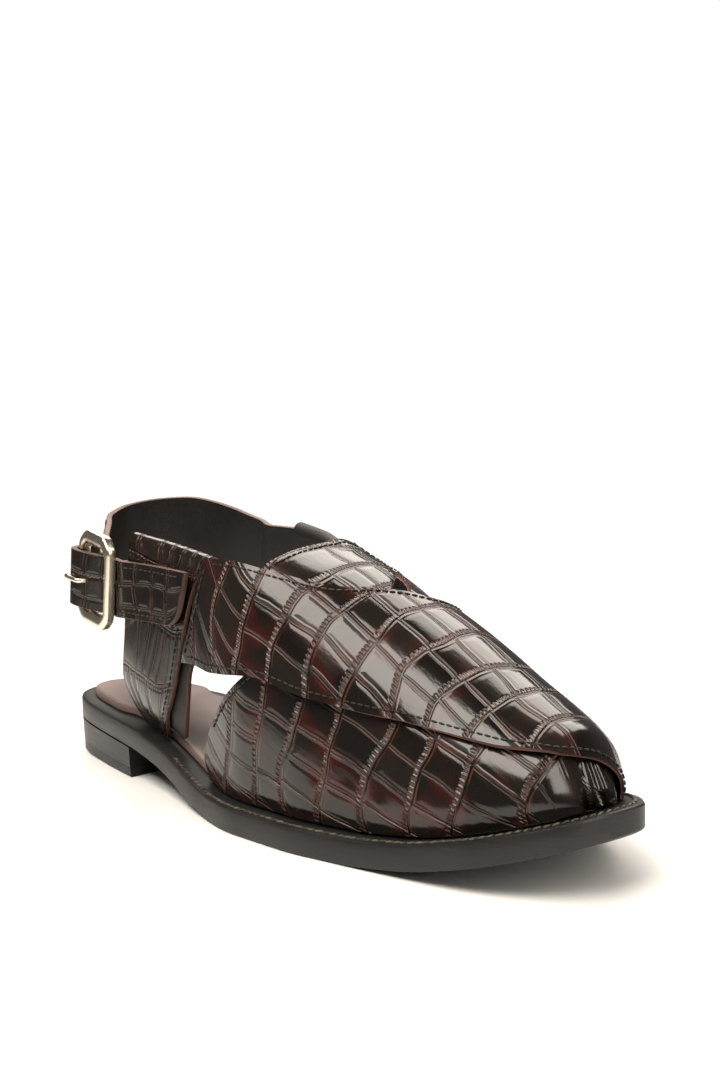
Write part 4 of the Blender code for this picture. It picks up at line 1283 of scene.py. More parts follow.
@dataclass
class Upper:
    """The crossed upper: vamp with its inner wing, top panel and tongue lobe."""

    rise: float = 0.0010
    panel_wall: float = 0.0018
    gap: float = 0.0009
    wall: float = 0.0020
    pleat: float = 0.0010
    pleat_root: float = 0.900
    pleat_reach: float = 0.62
    pleat_pitch: float = 0.24
    crease: float = 0.0006

    @property
    def under(self) -> float:
        """Distance of the under layer's grain side off the last."""
        return self.rise - self.panel_wall - self.gap

    def toe_pleats(self, run: np.ndarray, turn: np.ndarray) -> np.ndarray:
        """Gathered folds at the toe and soft troughs where the vamp bends."""
        place = LAST.point(run, turn)
        plan = np.arctan2(place[..., 1], place[..., 0] - self.pleat_root * LENGTH)
        window = np.clip((plan + self.pleat_reach) / 0.16, 0.0, 1.0)
        window = window * np.clip((0.35 - plan) / 0.20, 0.0, 1.0)
        window = window * np.clip((place[..., 0] / LENGTH - self.pleat_root) / 0.030, 0.0, 1.0)
        folds = -self.pleat * window * (0.5 + 0.5 * np.cos(2.0 * math.pi * plan / self.pleat_pitch)) ** 1.5
        return folds + self.flex(run, turn)

    def flex(self, run: np.ndarray, turn: np.ndarray) -> np.ndarray:
        """Soft troughs across the ball of the foot, deepest on the outer side."""
        share = run / LENGTH
        depth = np.zeros_like(share)
        for centre, width, low, high in (
            (0.655, 0.012, 0.03, 0.17),
            (0.700, 0.014, 0.04, 0.20),
            (0.745, 0.010, 0.05, 0.16),
        ):
            window = np.clip((turn - low) / 0.03, 0, 1) * np.clip((high - turn) / 0.05, 0, 1)
            depth += np.exp(-(((share - centre - 0.12 * turn) / width) ** 2)) * window
        return -self.crease * depth

    def build(self, step: float, palette: Palette) -> list[bpy.types.Object]:
        """Make the three panels.

        Args:
            step: mesh fineness in metres.
            palette: the finishes.

        Returns:
            The panels' objects.
        """
        fine = step * 0.8
        loop = trace(VAMP_REAR, fine)
        for rows in (ROLLED_EDGE, INNER_WING_REAR, INNER_WING_BOTTOM, INNER_VAMP_REAR):
            loop += trace(rows, fine)
        end = LAST.run_end - 0.0008
        loop += straight((INNER_VAMP_REAR[-1][0] * LENGTH, SPAN), (end, SPAN), fine)
        loop += straight((end, SPAN), (end, 0.0), fine)
        loop += straight((end, 0.0), (VAMP_REAR[0][0] * LENGTH, 0.0), fine)
        vamp = Panel("upper_leather", loop, self.under, self.wall, palette.vamp, self.toe_pleats)
        loop = trace(WING_BOTTOM, fine)
        loop += straight((WING_BOTTOM[-1][0] * LENGTH, SPAN), (PANEL_REAR[0][0] * LENGTH, SPAN), fine)
        loop += trace(PANEL_REAR, fine) + trace(WING_REAR, fine)
        cross = Panel("cross_panel_leather", loop, self.rise, self.panel_wall, palette.cross)
        loop = trace(TONGUE_EDGE, fine * 0.7) + trace(TONGUE_ROOT, fine)
        lobe = Panel("tongue_leather", loop, self.under, self.wall, palette.tongue)
        pieces = [vamp.build(0.5 * step, palette)] + [panel.build(step, palette) for panel in (cross, lobe)]
        for piece, node in zip(pieces, ("upper", "cross_panel", "tongue")):
            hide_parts(node)
        return pieces

    def stitches(self, tree: StitchTree) -> list[bpy.types.Object]:
        """Sew the rows beside the edges that show."""
        lift = 0.00015
        sizes = {"Spacing": 0.0027, "Length": 0.0023, "Radius": 0.00036, "Lean": 0.0}
        top = [
            edge_line(WING_BOTTOM, 0.0024, self.rise + lift, (3, 4)),
            edge_line(PANEL_REAR, 0.0022, self.rise + lift, (4, 3)),
            edge_line(WING_REAR, 0.0022, self.rise + lift, (2, 2)),
        ]
        under = [
            edge_line(VAMP_REAR[1:6], -0.0022, self.under + lift, (6, 8)),
            edge_line(TONGUE_EDGE, -0.0024, self.under + lift, (6, 10)),
            edge_line(ROLLED_EDGE, 0.0022, self.under + lift, (10, 2)),
            edge_line(INNER_WING_REAR, 0.0022, self.under + lift, (2, 2)),
        ]
        return [tree.sew("cross_panel_stitches", top, sizes), tree.sew("upper_stitches", under, sizes)]


@dataclass
class Bottom:
    """Sole, heel block, insole and the welt's stitching."""

    insole_wall: float = 0.0034
    heel_inset: float = 0.0060
    side_inset: float = 0.0094
    inner_inset: float = 0.0124
    stitch_inset: float = 0.0021
    count: int = 150

    def _rounded(self, side: int, inset: float) -> tuple[np.ndarray, np.ndarray]:
        """Plan side whose heel and toe close in a round end."""
        both = [side_curve(s, inset)[0] for s in (-1, 1)]
        start, tip = max(c[0] for c in both), min(c[-1] for c in both)
        x, y = side_curve(side, inset)
        width = np.abs(y)
        sweep = np.linspace(0.0, 0.5 * math.pi, 60)
        knots = np.array((0.020, 0.040, 0.065)) * LENGTH
        squares = np.append(0.0, np.interp(knots, x, width) ** 2)
        knots = np.append(start, knots)
        heel_x = start + (knots[-1] - start) * (1.0 - np.cos(sweep))
        heel_y = np.sqrt(np.clip(smooth(knots, squares, heel_x), 0.0, None))
        knots = np.array((0.935, 0.960, 0.982)) * LENGTH
        squares = np.append(np.interp(knots, x, width) ** 2, 0.0)
        knots = np.append(knots, tip)
        toe_x = knots[0] + (tip - knots[0]) * np.sin(sweep)
        toe_y = np.sqrt(np.clip(smooth(knots, squares, toe_x), 0.0, None))
        keep = (x > heel_x[-1] + 1e-5) & (x < toe_x[0] - 1e-5)
        x = np.concatenate([heel_x, x[keep], toe_x])
        return x, side * np.concatenate([heel_y, width[keep], toe_y])

    def _plan(self, side: int, inset: float, end: float) -> tuple[np.ndarray, np.ndarray]:
        """Evenly spread points of one side of the plan up to x = end."""
        full_x, full_y = self._rounded(side, inset)
        stop = min(end, full_x[-1])
        keep = full_x < stop
        x = np.append(full_x[keep], stop)
        y = np.append(full_y[keep], np.interp(stop, full_x, full_y))
        run = np.concatenate([[0.0], np.cumsum(np.hypot(np.diff(x), np.diff(y)))])
        at = np.linspace(0.0, run[-1], self.count)
        return np.interp(at, run, x), np.interp(at, run, y)

    def _stack(
        self,
        name: str,
        layers: Sequence[tuple[Callable, Callable]],
        finishes: Sequence[bpy.types.Material],
        cap: int,
    ) -> bpy.types.Object:
        """Closed body between plan curves, the lowest first.

        Args:
            name: the piece's name.
            layers: for each, a function of the side giving x and y, and one of x giving z.
            finishes: materials, the first for the sides.
            cap: material of the top face.

        Returns:
            The object.
        """
        vertices, faces, slots = [], [], []
        count = self.count
        ribs = 9
        for plan, height in layers:
            for side in (-1, 1):
                x, y = plan(side)
                vertices += list(np.stack([x, y, height(x)], -1))
        for level, upward in ((0, False), (len(layers) - 1, True)):
            plan, height = layers[level]
            x0, y0 = plan(-1)
            x1, y1 = plan(1)
            low = level * 2 * count
            columns = [list(range(low, low + count))]
            for r in range(1, ribs):
                start = len(vertices)
                t = r / ribs
                x, y = x0 + (x1 - x0) * t, y0 + (y1 - y0) * t
                vertices += list(np.stack([x, y, height(x)], -1))
                columns.append(list(range(start, start + count)))
            columns.append(list(range(low + count, low + 2 * count)))
            for left, right in zip(columns, columns[1:]):
                for k in range(count - 1):
                    quad = (left[k], left[k + 1], right[k + 1], right[k])
                    faces.append(quad if upward else tuple(reversed(quad)))
                    slots.append(cap if upward else 0)
        for level in range(len(layers) - 1):
            base, above = level * 2 * count, (level + 1) * 2 * count
            for k in range(count - 1):
                faces.append((base + k, base + k + 1, above + k + 1, above + k))
                far, far_above = base + count + k, above + count + k
                faces.append((far + 1, far, far_above, far_above + 1))
                slots += [0, 0]
            for end, flip in ((count - 1, False), (0, True)):
                quad = (base + end, base + count + end, above + count + end, above + end)
                faces.append(tuple(reversed(quad)) if flip else quad)
                slots.append(0)
        return self._weld(name, vertices, faces, finishes, slots)

    def _weld(
        self,
        name: str,
        vertices: Sequence[np.ndarray],
        faces: Sequence[tuple[int, ...]],
        finishes: Sequence[bpy.types.Material],
        slots: Sequence[int],
    ) -> bpy.types.Object:
        """Join doubled points, keep the material of each face and fill the seams of the ends."""
        mesh = bpy.data.meshes.new(name)
        mesh.from_pydata([tuple(v) for v in np.asarray(vertices) + SHIFT], [], [tuple(f) for f in faces])
        for finish in finishes:
            mesh.materials.append(finish)
        mesh.polygons.foreach_set("material_index", slots)
        work = bmesh.new()
        work.from_mesh(mesh)
        bmesh.ops.remove_doubles(work, verts=work.verts, dist=4e-6)
        bmesh.ops.dissolve_degenerate(work, edges=work.edges, dist=1e-6)
        open_edges = [edge for edge in work.edges if edge.is_boundary]
        if open_edges:
            bmesh.ops.holes_fill(work, edges=open_edges, sides=0)
        bmesh.ops.recalc_face_normals(work, faces=work.faces)
        if work.calc_volume(signed=True) < 0:
            bmesh.ops.reverse_faces(work, faces=work.faces)
        work.to_mesh(mesh)
        work.free()
        mesh.shade_smooth()
        mesh.set_sharp_from_angle(angle=math.radians(32.0))
        made = bpy.data.objects.new(name, mesh)
        bpy.context.scene.collection.objects.link(made)
        return made

    def sole(self, palette: Palette) -> bpy.types.Object:
        """Sole with rounded edges and its welt top."""

        def plan(inset: float) -> Callable:
            """Plan of the sole at an inset."""
            return lambda side: self._plan(side, inset, LENGTH)

        def up(share: float) -> Callable:
            """Height at a share of the sole's edge."""
            return lambda x: sole_bottom(x) + SOLE_EDGE * share

        rows = (
            (0.0011, 0.0),
            (0.0003, 0.035),
            (0.0, 0.11),
            (0.0, 0.50),
            (0.0, 0.88),
            (0.0003, 0.96),
            (0.0010, 1.0),
        )
        layers = [(plan(inset), up(share)) for inset, share in rows]
        made = self._stack("sole_leather", layers, (palette.sole, palette.welt), 1)
        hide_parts("outsole")
        return made

    def heel(self, palette: Palette) -> bpy.types.Object:
        """Heel block with the faint seam of its top lift."""

        def plan(inset: float) -> Callable:
            """Plan of the heel block at an inset."""
            return lambda side: self._plan(side, inset, HEEL_BREAST)

        def up(share: float) -> Callable:
            """Height at a share of the heel block."""
            return lambda x: (sole_bottom(x) - CLEARANCE) * share

        rows = (
            (0.0012, 0.0),
            (0.0006, 0.05),
            (0.0005, 0.30),
            (0.00062, 0.33),
            (0.0004, 0.36),
            (0.0001, 1.0),
        )
        layers = [(plan(inset), up(share)) for inset, share in rows]
        made = self._stack("heel_leather", layers, (palette.heel,), 0)
        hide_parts("heel")
        return made

    def insole(self, palette: Palette) -> bpy.types.Object:
        """Padded sock with a rolled edge."""

        def plan(extra: float) -> Callable:
            """Plan of the sock at an extra inset."""

            def curve(side: int) -> tuple[np.ndarray, np.ndarray]:
                """Evenly spread points of one side."""
                x, y = side_curve(side, self.heel_inset + extra)
                inset = self.side_inset if side < 0 else self.inner_inset
                inner_x, inner_y = side_curve(side, inset + extra)
                mix = smooth((0.0, 0.150, 0.205, 1.0), (0.0, 0.0, 1.0, 1.0), x / LENGTH)
                y = y + (np.interp(x, inner_x, inner_y) - y) * mix
                end = side_curve(side, self.inner_inset + extra)[0][-1]
                keep = x < end
                x, y = np.append(x[keep], end), np.append(y[keep], 0.0)
                run = np.concatenate([[0.0], np.cumsum(np.hypot(np.diff(x), np.diff(y)))])
                at = np.linspace(0.0, run[-1], self.count)
                return np.interp(at, run, x), np.interp(at, run, y)

            return curve

        def up(lift: float) -> Callable:
            """Height at a lift over the sole."""
            return lambda x: sole_top(x) + lift

        rows = (
            (0.0, CLEARANCE),
            (0.0, self.insole_wall - 0.0012),
            (0.0003, self.insole_wall - 0.0005),
            (0.0010, self.insole_wall - 0.0001),
            (0.0020, self.insole_wall),
        )
        layers = [(plan(extra), up(lift)) for extra, lift in rows]
        made = self._stack("insole_sock", layers, (palette.insole,), 0)
        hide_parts("insole")
        return made

    def stitches(self, tree: StitchTree) -> bpy.types.Object:
        """Lockstitch round the top of the welt, from the waist round the toe."""
        lines = []
        for side in (-1, 1):
            x, y = self._rounded(side, self.stitch_inset)
            keep = x > 0.36 * LENGTH
            line = np.stack([x[keep], y[keep], sole_top(x[keep]) + 0.00018], -1)
            lines.append(line[::2])
        sizes = {"Spacing": 0.0029, "Length": 0.0030, "Radius": 0.00052, "Lean": 0.42}
        return tree.sew("welt_stitches", lines, sizes)


LATERAL_STRAP = (
    (0.195, 0.246, 0.306, 0.256, 0.346),
    (0.290, 0.228, 0.326, 0.230, 0.366),
    (0.390, 0.224, 0.346, 0.226, 0.372),
    (0.510, 0.240, 0.361, 0.242, 0.378),
    (0.600, 0.248, 0.370, 0.250, 0.386),
    (0.770, 0.253, 0.388, 0.255, 0.404),
    (0.880, 0.258, 0.403, 0.260, 0.420),
    (1.010, 0.264, 0.434, 0.264, 0.436),
)
MEDIAL_STRAP = (
    (0.195, 0.300, 0.395, 0.310, 0.397),
    (0.290, 0.288, 0.392, 0.290, 0.394),
    (0.390, 0.285, 0.392, 0.287, 0.394),
    (0.510, 0.298, 0.400, 0.300, 0.402),
    (0.600, 0.314, 0.412, 0.316, 0.414),
    (0.770, 0.340, 0.440, 0.342, 0.442),
    (0.880, 0.353, 0.460, 0.353, 0.460),
    (1.010, 0.366, 0.484, 0.366, 0.484),
)
LATERAL_TOP = (1.012, 0.955)
MEDIAL_TOP = (1.024, 0.985)
HEEL_RUN = (
    (0.262, 0.650, 0.712, 0.265, 0.628, 1.012),
    (0.186, 0.680, 0.655, 0.193, 0.630, 1.056),
    (0.103, 0.635, 0.630, 0.117, 0.557, 1.087),
    (0.045, 0.454, 0.620, 0.066, 0.392, 1.077),
    (0.024, 0.186, 0.620, 0.047, 0.165, 1.056),
    (0.033, -0.103, 0.635, 0.061, -0.062, 1.030),
    (0.066, -0.309, 0.655, 0.100, -0.247, 1.000),
    (0.107, -0.443, 0.672, 0.135, -0.412, 0.975),
)
BUCKLE_RUN = (
    (-1.420, -3.000),
    (-1.290, -2.150),
    (-1.210, -1.250),
    (-1.225, -0.375),
    (-1.185, 0.325),
    (-1.080, 0.790),
    (-0.920, 0.930),
    (-0.690, 0.880),
    (-0.450, 0.700),
    (-0.160, 0.375),
    (0.040, 0.100),
    (0.280, -0.275),
    (0.520, -0.650),
    (0.770, -0.910),
    (1.050, -0.960),
)
TAIL_RUN = (
    (0.285, 0.680, 0.288, 0.898),
    (0.325, 0.679, 0.332, 0.895),
    (0.360, 0.678, 0.375, 0.891),
    (0.380, 0.678, 0.402, 0.888),
)


@dataclass
class Buckle:
    """Centre bar buckle on the outer side, in its own axes."""

    half_width: float = 0.0124
    half_height: float = 0.0186
    side_bar: float = 0.0034
    end_bar: float = 0.0050
    thick: float = 0.0040
    chamfer: float = 0.0046
    lean: float = math.radians(8.0)
    heading: float = math.radians(-7.0)
    bar: float = 0.0014
    prong: float = 0.0009
    station: float = 0.2103
    side: float = -0.831
    height: float = 0.817

    def place(self, a: float, b: float, c: float) -> np.ndarray:
        """Point from the buckle's axes: a forward, b up, c outward."""
        along = a * math.cos(self.lean) + b * math.sin(self.lean)
        up = b * math.cos(self.lean) - a * math.sin(self.lean)
        forward = np.array([math.cos(self.heading), math.sin(self.heading), 0.0])
        outward = np.array([math.sin(self.heading), -math.cos(self.heading), 0.0])
        centre = np.array([self.station * LENGTH, self.side * MEDIAL_HALF, self.height * INSTEP])
        return centre + forward * along + outward * c + np.array([0.0, 0.0, up])

    @property
    def bar_depth(self) -> float:
        """Depth of the centre bar's axis, inside the strap."""
        return 0.1 * self.thick - 0.0011 - CLEARANCE - self.bar - 0.0002

    def _ring(self, width: float, height: float, cut: float, depth: float) -> np.ndarray:
        """Rectangle with cut and rounded corners, as points."""
        w, h, k = width, height, cut
        corners = (
            (w, h - k), (w - k, h), (k - w, h), (-w, h - k),
            (-w, k - h), (k - w, -h), (w - k, -h), (w, k - h),
        )
        points = []
        size = 0.42 * k
        for n, corner in enumerate(corners):
            here = np.array(corner)
            before = np.array(corners[n - 1]) - here
            after = np.array(corners[(n + 1) % 8]) - here
            start = here + before / np.linalg.norm(before) * size
            stop = here + after / np.linalg.norm(after) * size
            for t in (0.0, 0.25, 0.5, 0.75, 1.0):
                points.append(start * (1 - t) ** 2 + here * 2 * t * (1 - t) + stop * t**2)
        return np.array([self.place(a, b, depth) for a, b in points])

    def frame(self, palette: Palette) -> bpy.types.Object:
        """Frame with a domed face and rounded edges."""
        half = 0.5 * self.thick
        rings = []
        profile = (
            (0.06, -1.00),
            (0.00, -0.85),
            (0.00, 0.40),
            (0.06, 0.66),
            (0.20, 0.88),
            (0.42, 1.00),
            (0.62, 0.98),
            (0.84, 0.80),
            (0.95, 0.58),
            (1.00, 0.30),
            (1.00, -0.85),
            (0.94, -1.00),
        )
        for share, depth in profile:
            width = self.half_width - self.side_bar * share
            height = self.half_height - self.end_bar * share
            cut = self.chamfer * (1.0 - 0.5 * share)
            rings.append(self._ring(width, height, cut, half * depth))
        count = len(rings[0])
        faces = []
        for r in range(len(rings)):
            after = (r + 1) % len(rings)
            for k in range(count):
                n = (k + 1) % count
                faces.append((r * count + k, r * count + n, after * count + n, after * count + k))
        made = make_object("buckle_frame_metal", np.concatenate(rings), faces, (palette.metal,), sharp=38.0)
        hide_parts("buckle_frame")
        return made

    def rod(
        self, name: str, route: np.ndarray, radii: np.ndarray, aside: Sequence[float], palette: Palette
    ) -> bpy.types.Object:
        """Round rod with domed ends."""
        places = np.asarray(route, float)
        along = np.gradient(places, axis=0)
        along /= np.linalg.norm(along, axis=1, keepdims=True)
        first = np.cross(along, aside)
        first /= np.linalg.norm(first, axis=1, keepdims=True)
        second = np.cross(along, first)
        sides = 20
        vertices = []
        for place, one, two, radius in zip(places, first, second, radii):
            for k in range(sides):
                angle = 2 * math.pi * k / sides
                vertices.append(place + (one * math.cos(angle) + two * math.sin(angle)) * radius)
        faces = [tuple(range(sides)), tuple((len(places) - 1) * sides + k for k in reversed(range(sides)))]
        for ring in range(len(places) - 1):
            for k in range(sides):
                n = (k + 1) % sides
                low = ring * sides
                faces.append((low + k, low + n, low + sides + n, low + sides + k))
        return make_object(name, np.array(vertices), faces, (palette.metal,), sharp=50.0)

    def build(self, palette: Palette) -> list[bpy.types.Object]:
        """Frame, centre bar and prong."""
        frame = self.frame(palette)
        reach = self.half_height - self.end_bar - CLEARANCE
        line = [self.place(0.0, b * reach, self.bar_depth) for b in np.linspace(-1, 1, 9)]
        bar = self.rod("buckle_bar_metal", line, np.full(9, self.bar), (1.0, 0.0, 0.0), palette)
        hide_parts("buckle_bar")
        start = -(self.bar + CLEARANCE + self.prong)
        seat = 0.0011 + 2 * CLEARANCE + self.prong
        w, t = self.half_width, self.thick
        knots = np.array(
            (
                (start, self.bar_depth),
                (-0.275 * w, 0.13 * t),
                (-0.300 * w, 0.75 * t),
                (-0.345 * w, 1.32 * t),
                (-0.530 * w, 0.88 * t + seat),
                (-0.900 * w, 0.95 * t + seat),
                (-1.150 * w, 0.82 * t + seat),
            )
        )
        run = np.concatenate([[0.0], np.cumsum(np.linalg.norm(np.diff(knots, axis=0), axis=1))])
        at = np.linspace(0.0, run[-1], 26)
        path = np.stack([smooth(run, knots[:, k], at) for k in range(2)], -1)
        taper = self.prong * np.clip((run[-1] - at) / 0.0012 + 0.55, 0.55, 1.0)
        places = [self.place(a, -0.0008, c) for a, c in path]
        prong = self.rod("buckle_prong_metal", places, taper, (0.0, 0.0, 1.0), palette)
        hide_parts("buckle_prong")
        return [frame, bar, prong]


@dataclass
class Straps:
    """Side straps with their loops, the heel strap with its tail, and the buckle's billet."""

    upper: Upper
    buckle: Buckle
    wall: float = 0.0018
    heel_wall: float = 0.0022
    loop: float = 0.0025
    billet: float = 0.0150
    tail_corner: float = 0.0070
    half_at_buckle: float = 0.0111

    @property
    def outer_offset(self) -> float:
        """Distance of the outer strap's grain side off the last."""
        return self.upper.under

    @property
    def inner_offset(self) -> float:
        """Distance of the inner strap's grain side off the last."""
        return self.upper.under - self.upper.wall - self.upper.gap

    def side(
        self,
        name: str,
        node: str,
        side: int,
        rows: Sequence,
        tops: Sequence[float],
        outer: float,
        palette: Palette,
    ) -> bpy.types.Object:
        """Upright strap folded over at its top."""
        height = column(rows, 0) * INSTEP
        edges = [column(rows, k) * LENGTH for k in range(1, 5)]
        across, levels, turns = 20, 42, 12
        low_z = height[0]
        middle = outer - 0.5 * self.wall
        grid = []
        for i in range(across + 1):
            s = i / across
            top = (tops[0] * (1 - s) + tops[1] * s) * INSTEP - 0.5 * self.wall
            bend = top - self.loop

            def place(z: float, leaf: int, offset: float) -> np.ndarray:
                """Point of the strap at a height, on its outer or inner leaf."""
                look = low_z + (z - low_z) * (height[-1] - low_z) / (top - low_z)
                rear = smooth(height, edges[2 * leaf], min(look, height[-1]))
                front = smooth(height, edges[2 * leaf + 1], min(look, height[-1]))
                x = float(rear + (front - rear) * s)
                low = float(sole_top(x)) + CLEARANCE
                if leaf:
                    low += 0.0037
                return LAST.wall(x, max(z, low + 0.0001), side, offset)

            line = []
            for k in range(levels):
                line.append(place(low_z + (bend - low_z) * k / (levels - 1), 0, middle))
            for k in range(1, turns):
                angle = math.pi * k / turns
                base = place(bend, 0, middle) * (1 - k / turns) + place(bend, 1, middle) * (k / turns)
                inward = place(bend, 0, middle - self.loop) - place(bend, 0, middle)
                point = base + inward * (1 - math.cos(angle))
                point[2] = base[2] + self.loop * math.sin(angle)
                line.append(point)
            for k in range(levels):
                t = k / (levels - 1)
                z = bend + (low_z - bend) * t
                wide = 2 * self.loop
                close = self.wall + 2 * CLEARANCE
                ease = float(smooth((0.0, 0.35, 0.62, 1.0), (0.0, 0.0, 1.0, 1.0), t))
                line.append(place(z, 1, middle - wide + (wide - close) * ease))
            grid.append(line)
        grid = np.array(grid)
        normal_out = np.cross(grid[1, 3] - grid[0, 3], grid[0, 4] - grid[0, 3])[1] * side > 0
        face, back = (palette.strap, palette.lining) if normal_out else (palette.lining, palette.strap)
        band = Band(name, grid, self.wall, face, back, palette.raw, (0.02, 0.31))
        if side > 0:
            band.plain_from = levels - 1
            band.plain_slot = 1 if normal_out else 0
        made = band.build()
        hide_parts(node)
        return made

    def heel_path(self) -> tuple[np.ndarray, int, int]:
        """Rows of the heel strap: lower and upper edge points."""
        rows = []
        room = self.wall + 2 * CLEARANCE
        slot = self.inner_offset - 0.5 * self.wall - self.loop
        rear, front = MEDIAL_STRAP[-1][1] * LENGTH, MEDIAL_STRAP[-1][2] * LENGTH
        for share in (0.418, 0.395, 0.370, 0.345, 0.320, 0.300):
            x = share * LENGTH
            top = float(np.interp(x, (rear, front), (MEDIAL_TOP[0] * INSTEP, MEDIAL_TOP[1] * INSTEP))) - room
            rows.append((*LAST.wall(x, 0.730 * INSTEP, 1, slot), *LAST.wall(x, top, 1, slot)))
        scale = (LENGTH, MEDIAL_HALF, INSTEP)
        for row in HEEL_RUN:
            rows.append(tuple(row[k] * scale[k % 3] for k in range(6)))
        first = len(rows)
        for forward, out in BUCKLE_RUN:
            a, c = forward * self.buckle.half_width, out * self.buckle.thick
            low = self.buckle.place(a, -self.half_at_buckle - 0.0008, c)
            rows.append((*low, *self.buckle.place(a, self.half_at_buckle - 0.0008, c)))
        last = len(rows) - 1
        seat = self.outer_offset + CLEARANCE + self.upper.gap + 0.5 * self.heel_wall
        for x_low, z_low, x_top, z_top in TAIL_RUN:
            low = LAST.wall(x_low * LENGTH, z_low * INSTEP, -1, seat)
            rows.append((*low, *LAST.wall(x_top * LENGTH, z_top * INSTEP, -1, seat)))
        return np.array(rows, float), first, last

    def heel(self, palette: Palette) -> bpy.types.Object:
        """Strap from the inner loop round the heel, over the buckle's bars, to its tail."""
        rows, first, last = self.heel_path()
        run = np.concatenate([[0.0], np.cumsum(np.linalg.norm(np.diff(rows[:, :3], axis=0), axis=1))])
        dense = []
        for a, b in zip(run[first:last], run[first + 1 : last + 1]):
            dense += list(np.linspace(a, b, 4)[:-1])
        at = np.concatenate(
            [
                np.linspace(0.0, run[first], 120)[:-1],
                dense,
                np.linspace(run[last], run[-1], 48),
            ]
        )
        path = np.stack([smooth(run, rows[:, k], at) for k in range(6)], -1)
        shares = np.concatenate([np.linspace(0.0, 0.44, 7), np.linspace(0.56, 1.0, 7)])
        end = path[-1, 0]
        grid = []
        for row in path:
            low, high = row[:3], row[3:]
            near = 0.0
            if low[1] < 0 and low[0] > 0.3 * LENGTH:
                near = float(np.clip(1.0 - (end - low[0]) / self.tail_corner, 0.0, 1.0))
            cut = (1.0 - math.sqrt(max(0.0, 1.0 - near**2))) * self.tail_corner
            start = cut / max(float(np.linalg.norm(high - low)), 1e-6)
            grid.append([low + (high - low) * (start + (1 - start) * s) for s in shares])
        grid = np.array(grid)
        sample = np.cross(grid[61, 3] - grid[60, 3], grid[60, 4] - grid[60, 3])
        outward = grid[60, 3] - np.array([0.06, 0.0, 0.08])
        out_first = float(sample @ outward) > 0
        face, back = (palette.band, palette.lining) if out_first else (palette.lining, palette.band)
        sheet = (0.4, 0.5)
        made = Band("heel_strap_leather", grid, self.heel_wall, face, back, palette.rolled, sheet).build()
        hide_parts("heel_strap")
        self.tail_grid = grid
        self.out_first = out_first
        return made

    def billet_piece(self, palette: Palette) -> bpy.types.Object:
        """Short strip between the centre bar and the outer loop."""
        middle = self.buckle.height * INSTEP
        half = 0.5 * self.billet
        slot = self.outer_offset - 0.5 * self.wall - self.loop
        back = self.buckle.bar_depth - self.buckle.bar - CLEARANCE - 0.5 * self.wall
        rows = []
        for a, deeper in ((-0.0015, 0.0), (0.0025, 0.0002)):
            rows.append(
                (*self.buckle.place(a, -half, back - deeper), *self.buckle.place(a, half, back - deeper))
            )
        for share in (0.242, 0.262, 0.290, 0.320, 0.355, 0.390):
            x = share * LENGTH
            rows.append((*LAST.wall(x, middle - half, -1, slot), *LAST.wall(x, middle + half, -1, slot)))
        rows = np.array(rows)
        run = np.concatenate([[0.0], np.cumsum(np.linalg.norm(np.diff(rows[:, :3], axis=0), axis=1))])
        at = np.linspace(0.0, run[-1], 50)
        path = np.stack([smooth(run, rows[:, k], at) for k in range(6)], -1)
        grid = [[row[:3] + (row[3:] - row[:3]) * j / 8 for j in range(9)] for row in path]
        plain = palette.lining
        made = Band("billet_leather", np.array(grid), self.wall, plain, plain, palette.raw).build()
        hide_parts("buckle_billet")
        return made

    def stitches(self, tree: StitchTree) -> bpy.types.Object:
        """Rows along the tail and the heel strap's edges, and down the side strap's front edge."""
        grid = self.tail_grid
        lift = self.heel_wall * 0.5 + 0.0001
        along = np.gradient(grid, axis=0)
        across = np.gradient(grid, axis=1)
        normal = np.cross(along, across)
        normal /= np.linalg.norm(normal, axis=-1, keepdims=True)
        if not self.out_first:
            normal = -normal
        shell = grid + normal * lift
        lines = []
        for near, far in ((0, -1), (-1, 0)):
            edge, other = shell[:, near], shell[:, far]
            wide = np.linalg.norm(other - edge, axis=1, keepdims=True)
            line = edge + (other - edge) / wide * 0.0021
            lines += [line[6:118], line[-42:-5]]
        height = column(LATERAL_STRAP, 0) * INSTEP
        front = []
        for z in np.linspace(0.24, 0.66, 40) * INSTEP:
            x = float(smooth(height, column(LATERAL_STRAP, 2) * LENGTH, z)) - 0.0022
            front.append(LAST.wall(x, z, -1, self.outer_offset + 0.0001))
        lines.append(np.array(front))
        sizes = {"Spacing": 0.0027, "Length": 0.0023, "Radius": 0.00034, "Lean": 0.0}
        return tree.sew("strap_stitches", lines, sizes)

    def sides(self, palette: Palette) -> list[bpy.types.Object]:
        """Make the two upright straps with their loops."""
        return [
            self.side(
                "outer_strap_leather", "side_strap_lateral", -1, LATERAL_STRAP, LATERAL_TOP,
                self.outer_offset, palette,
            ),
            self.side(
                "inner_strap_leather", "side_strap_medial", 1, MEDIAL_STRAP, MEDIAL_TOP,
                self.inner_offset, palette,
            ),
        ]


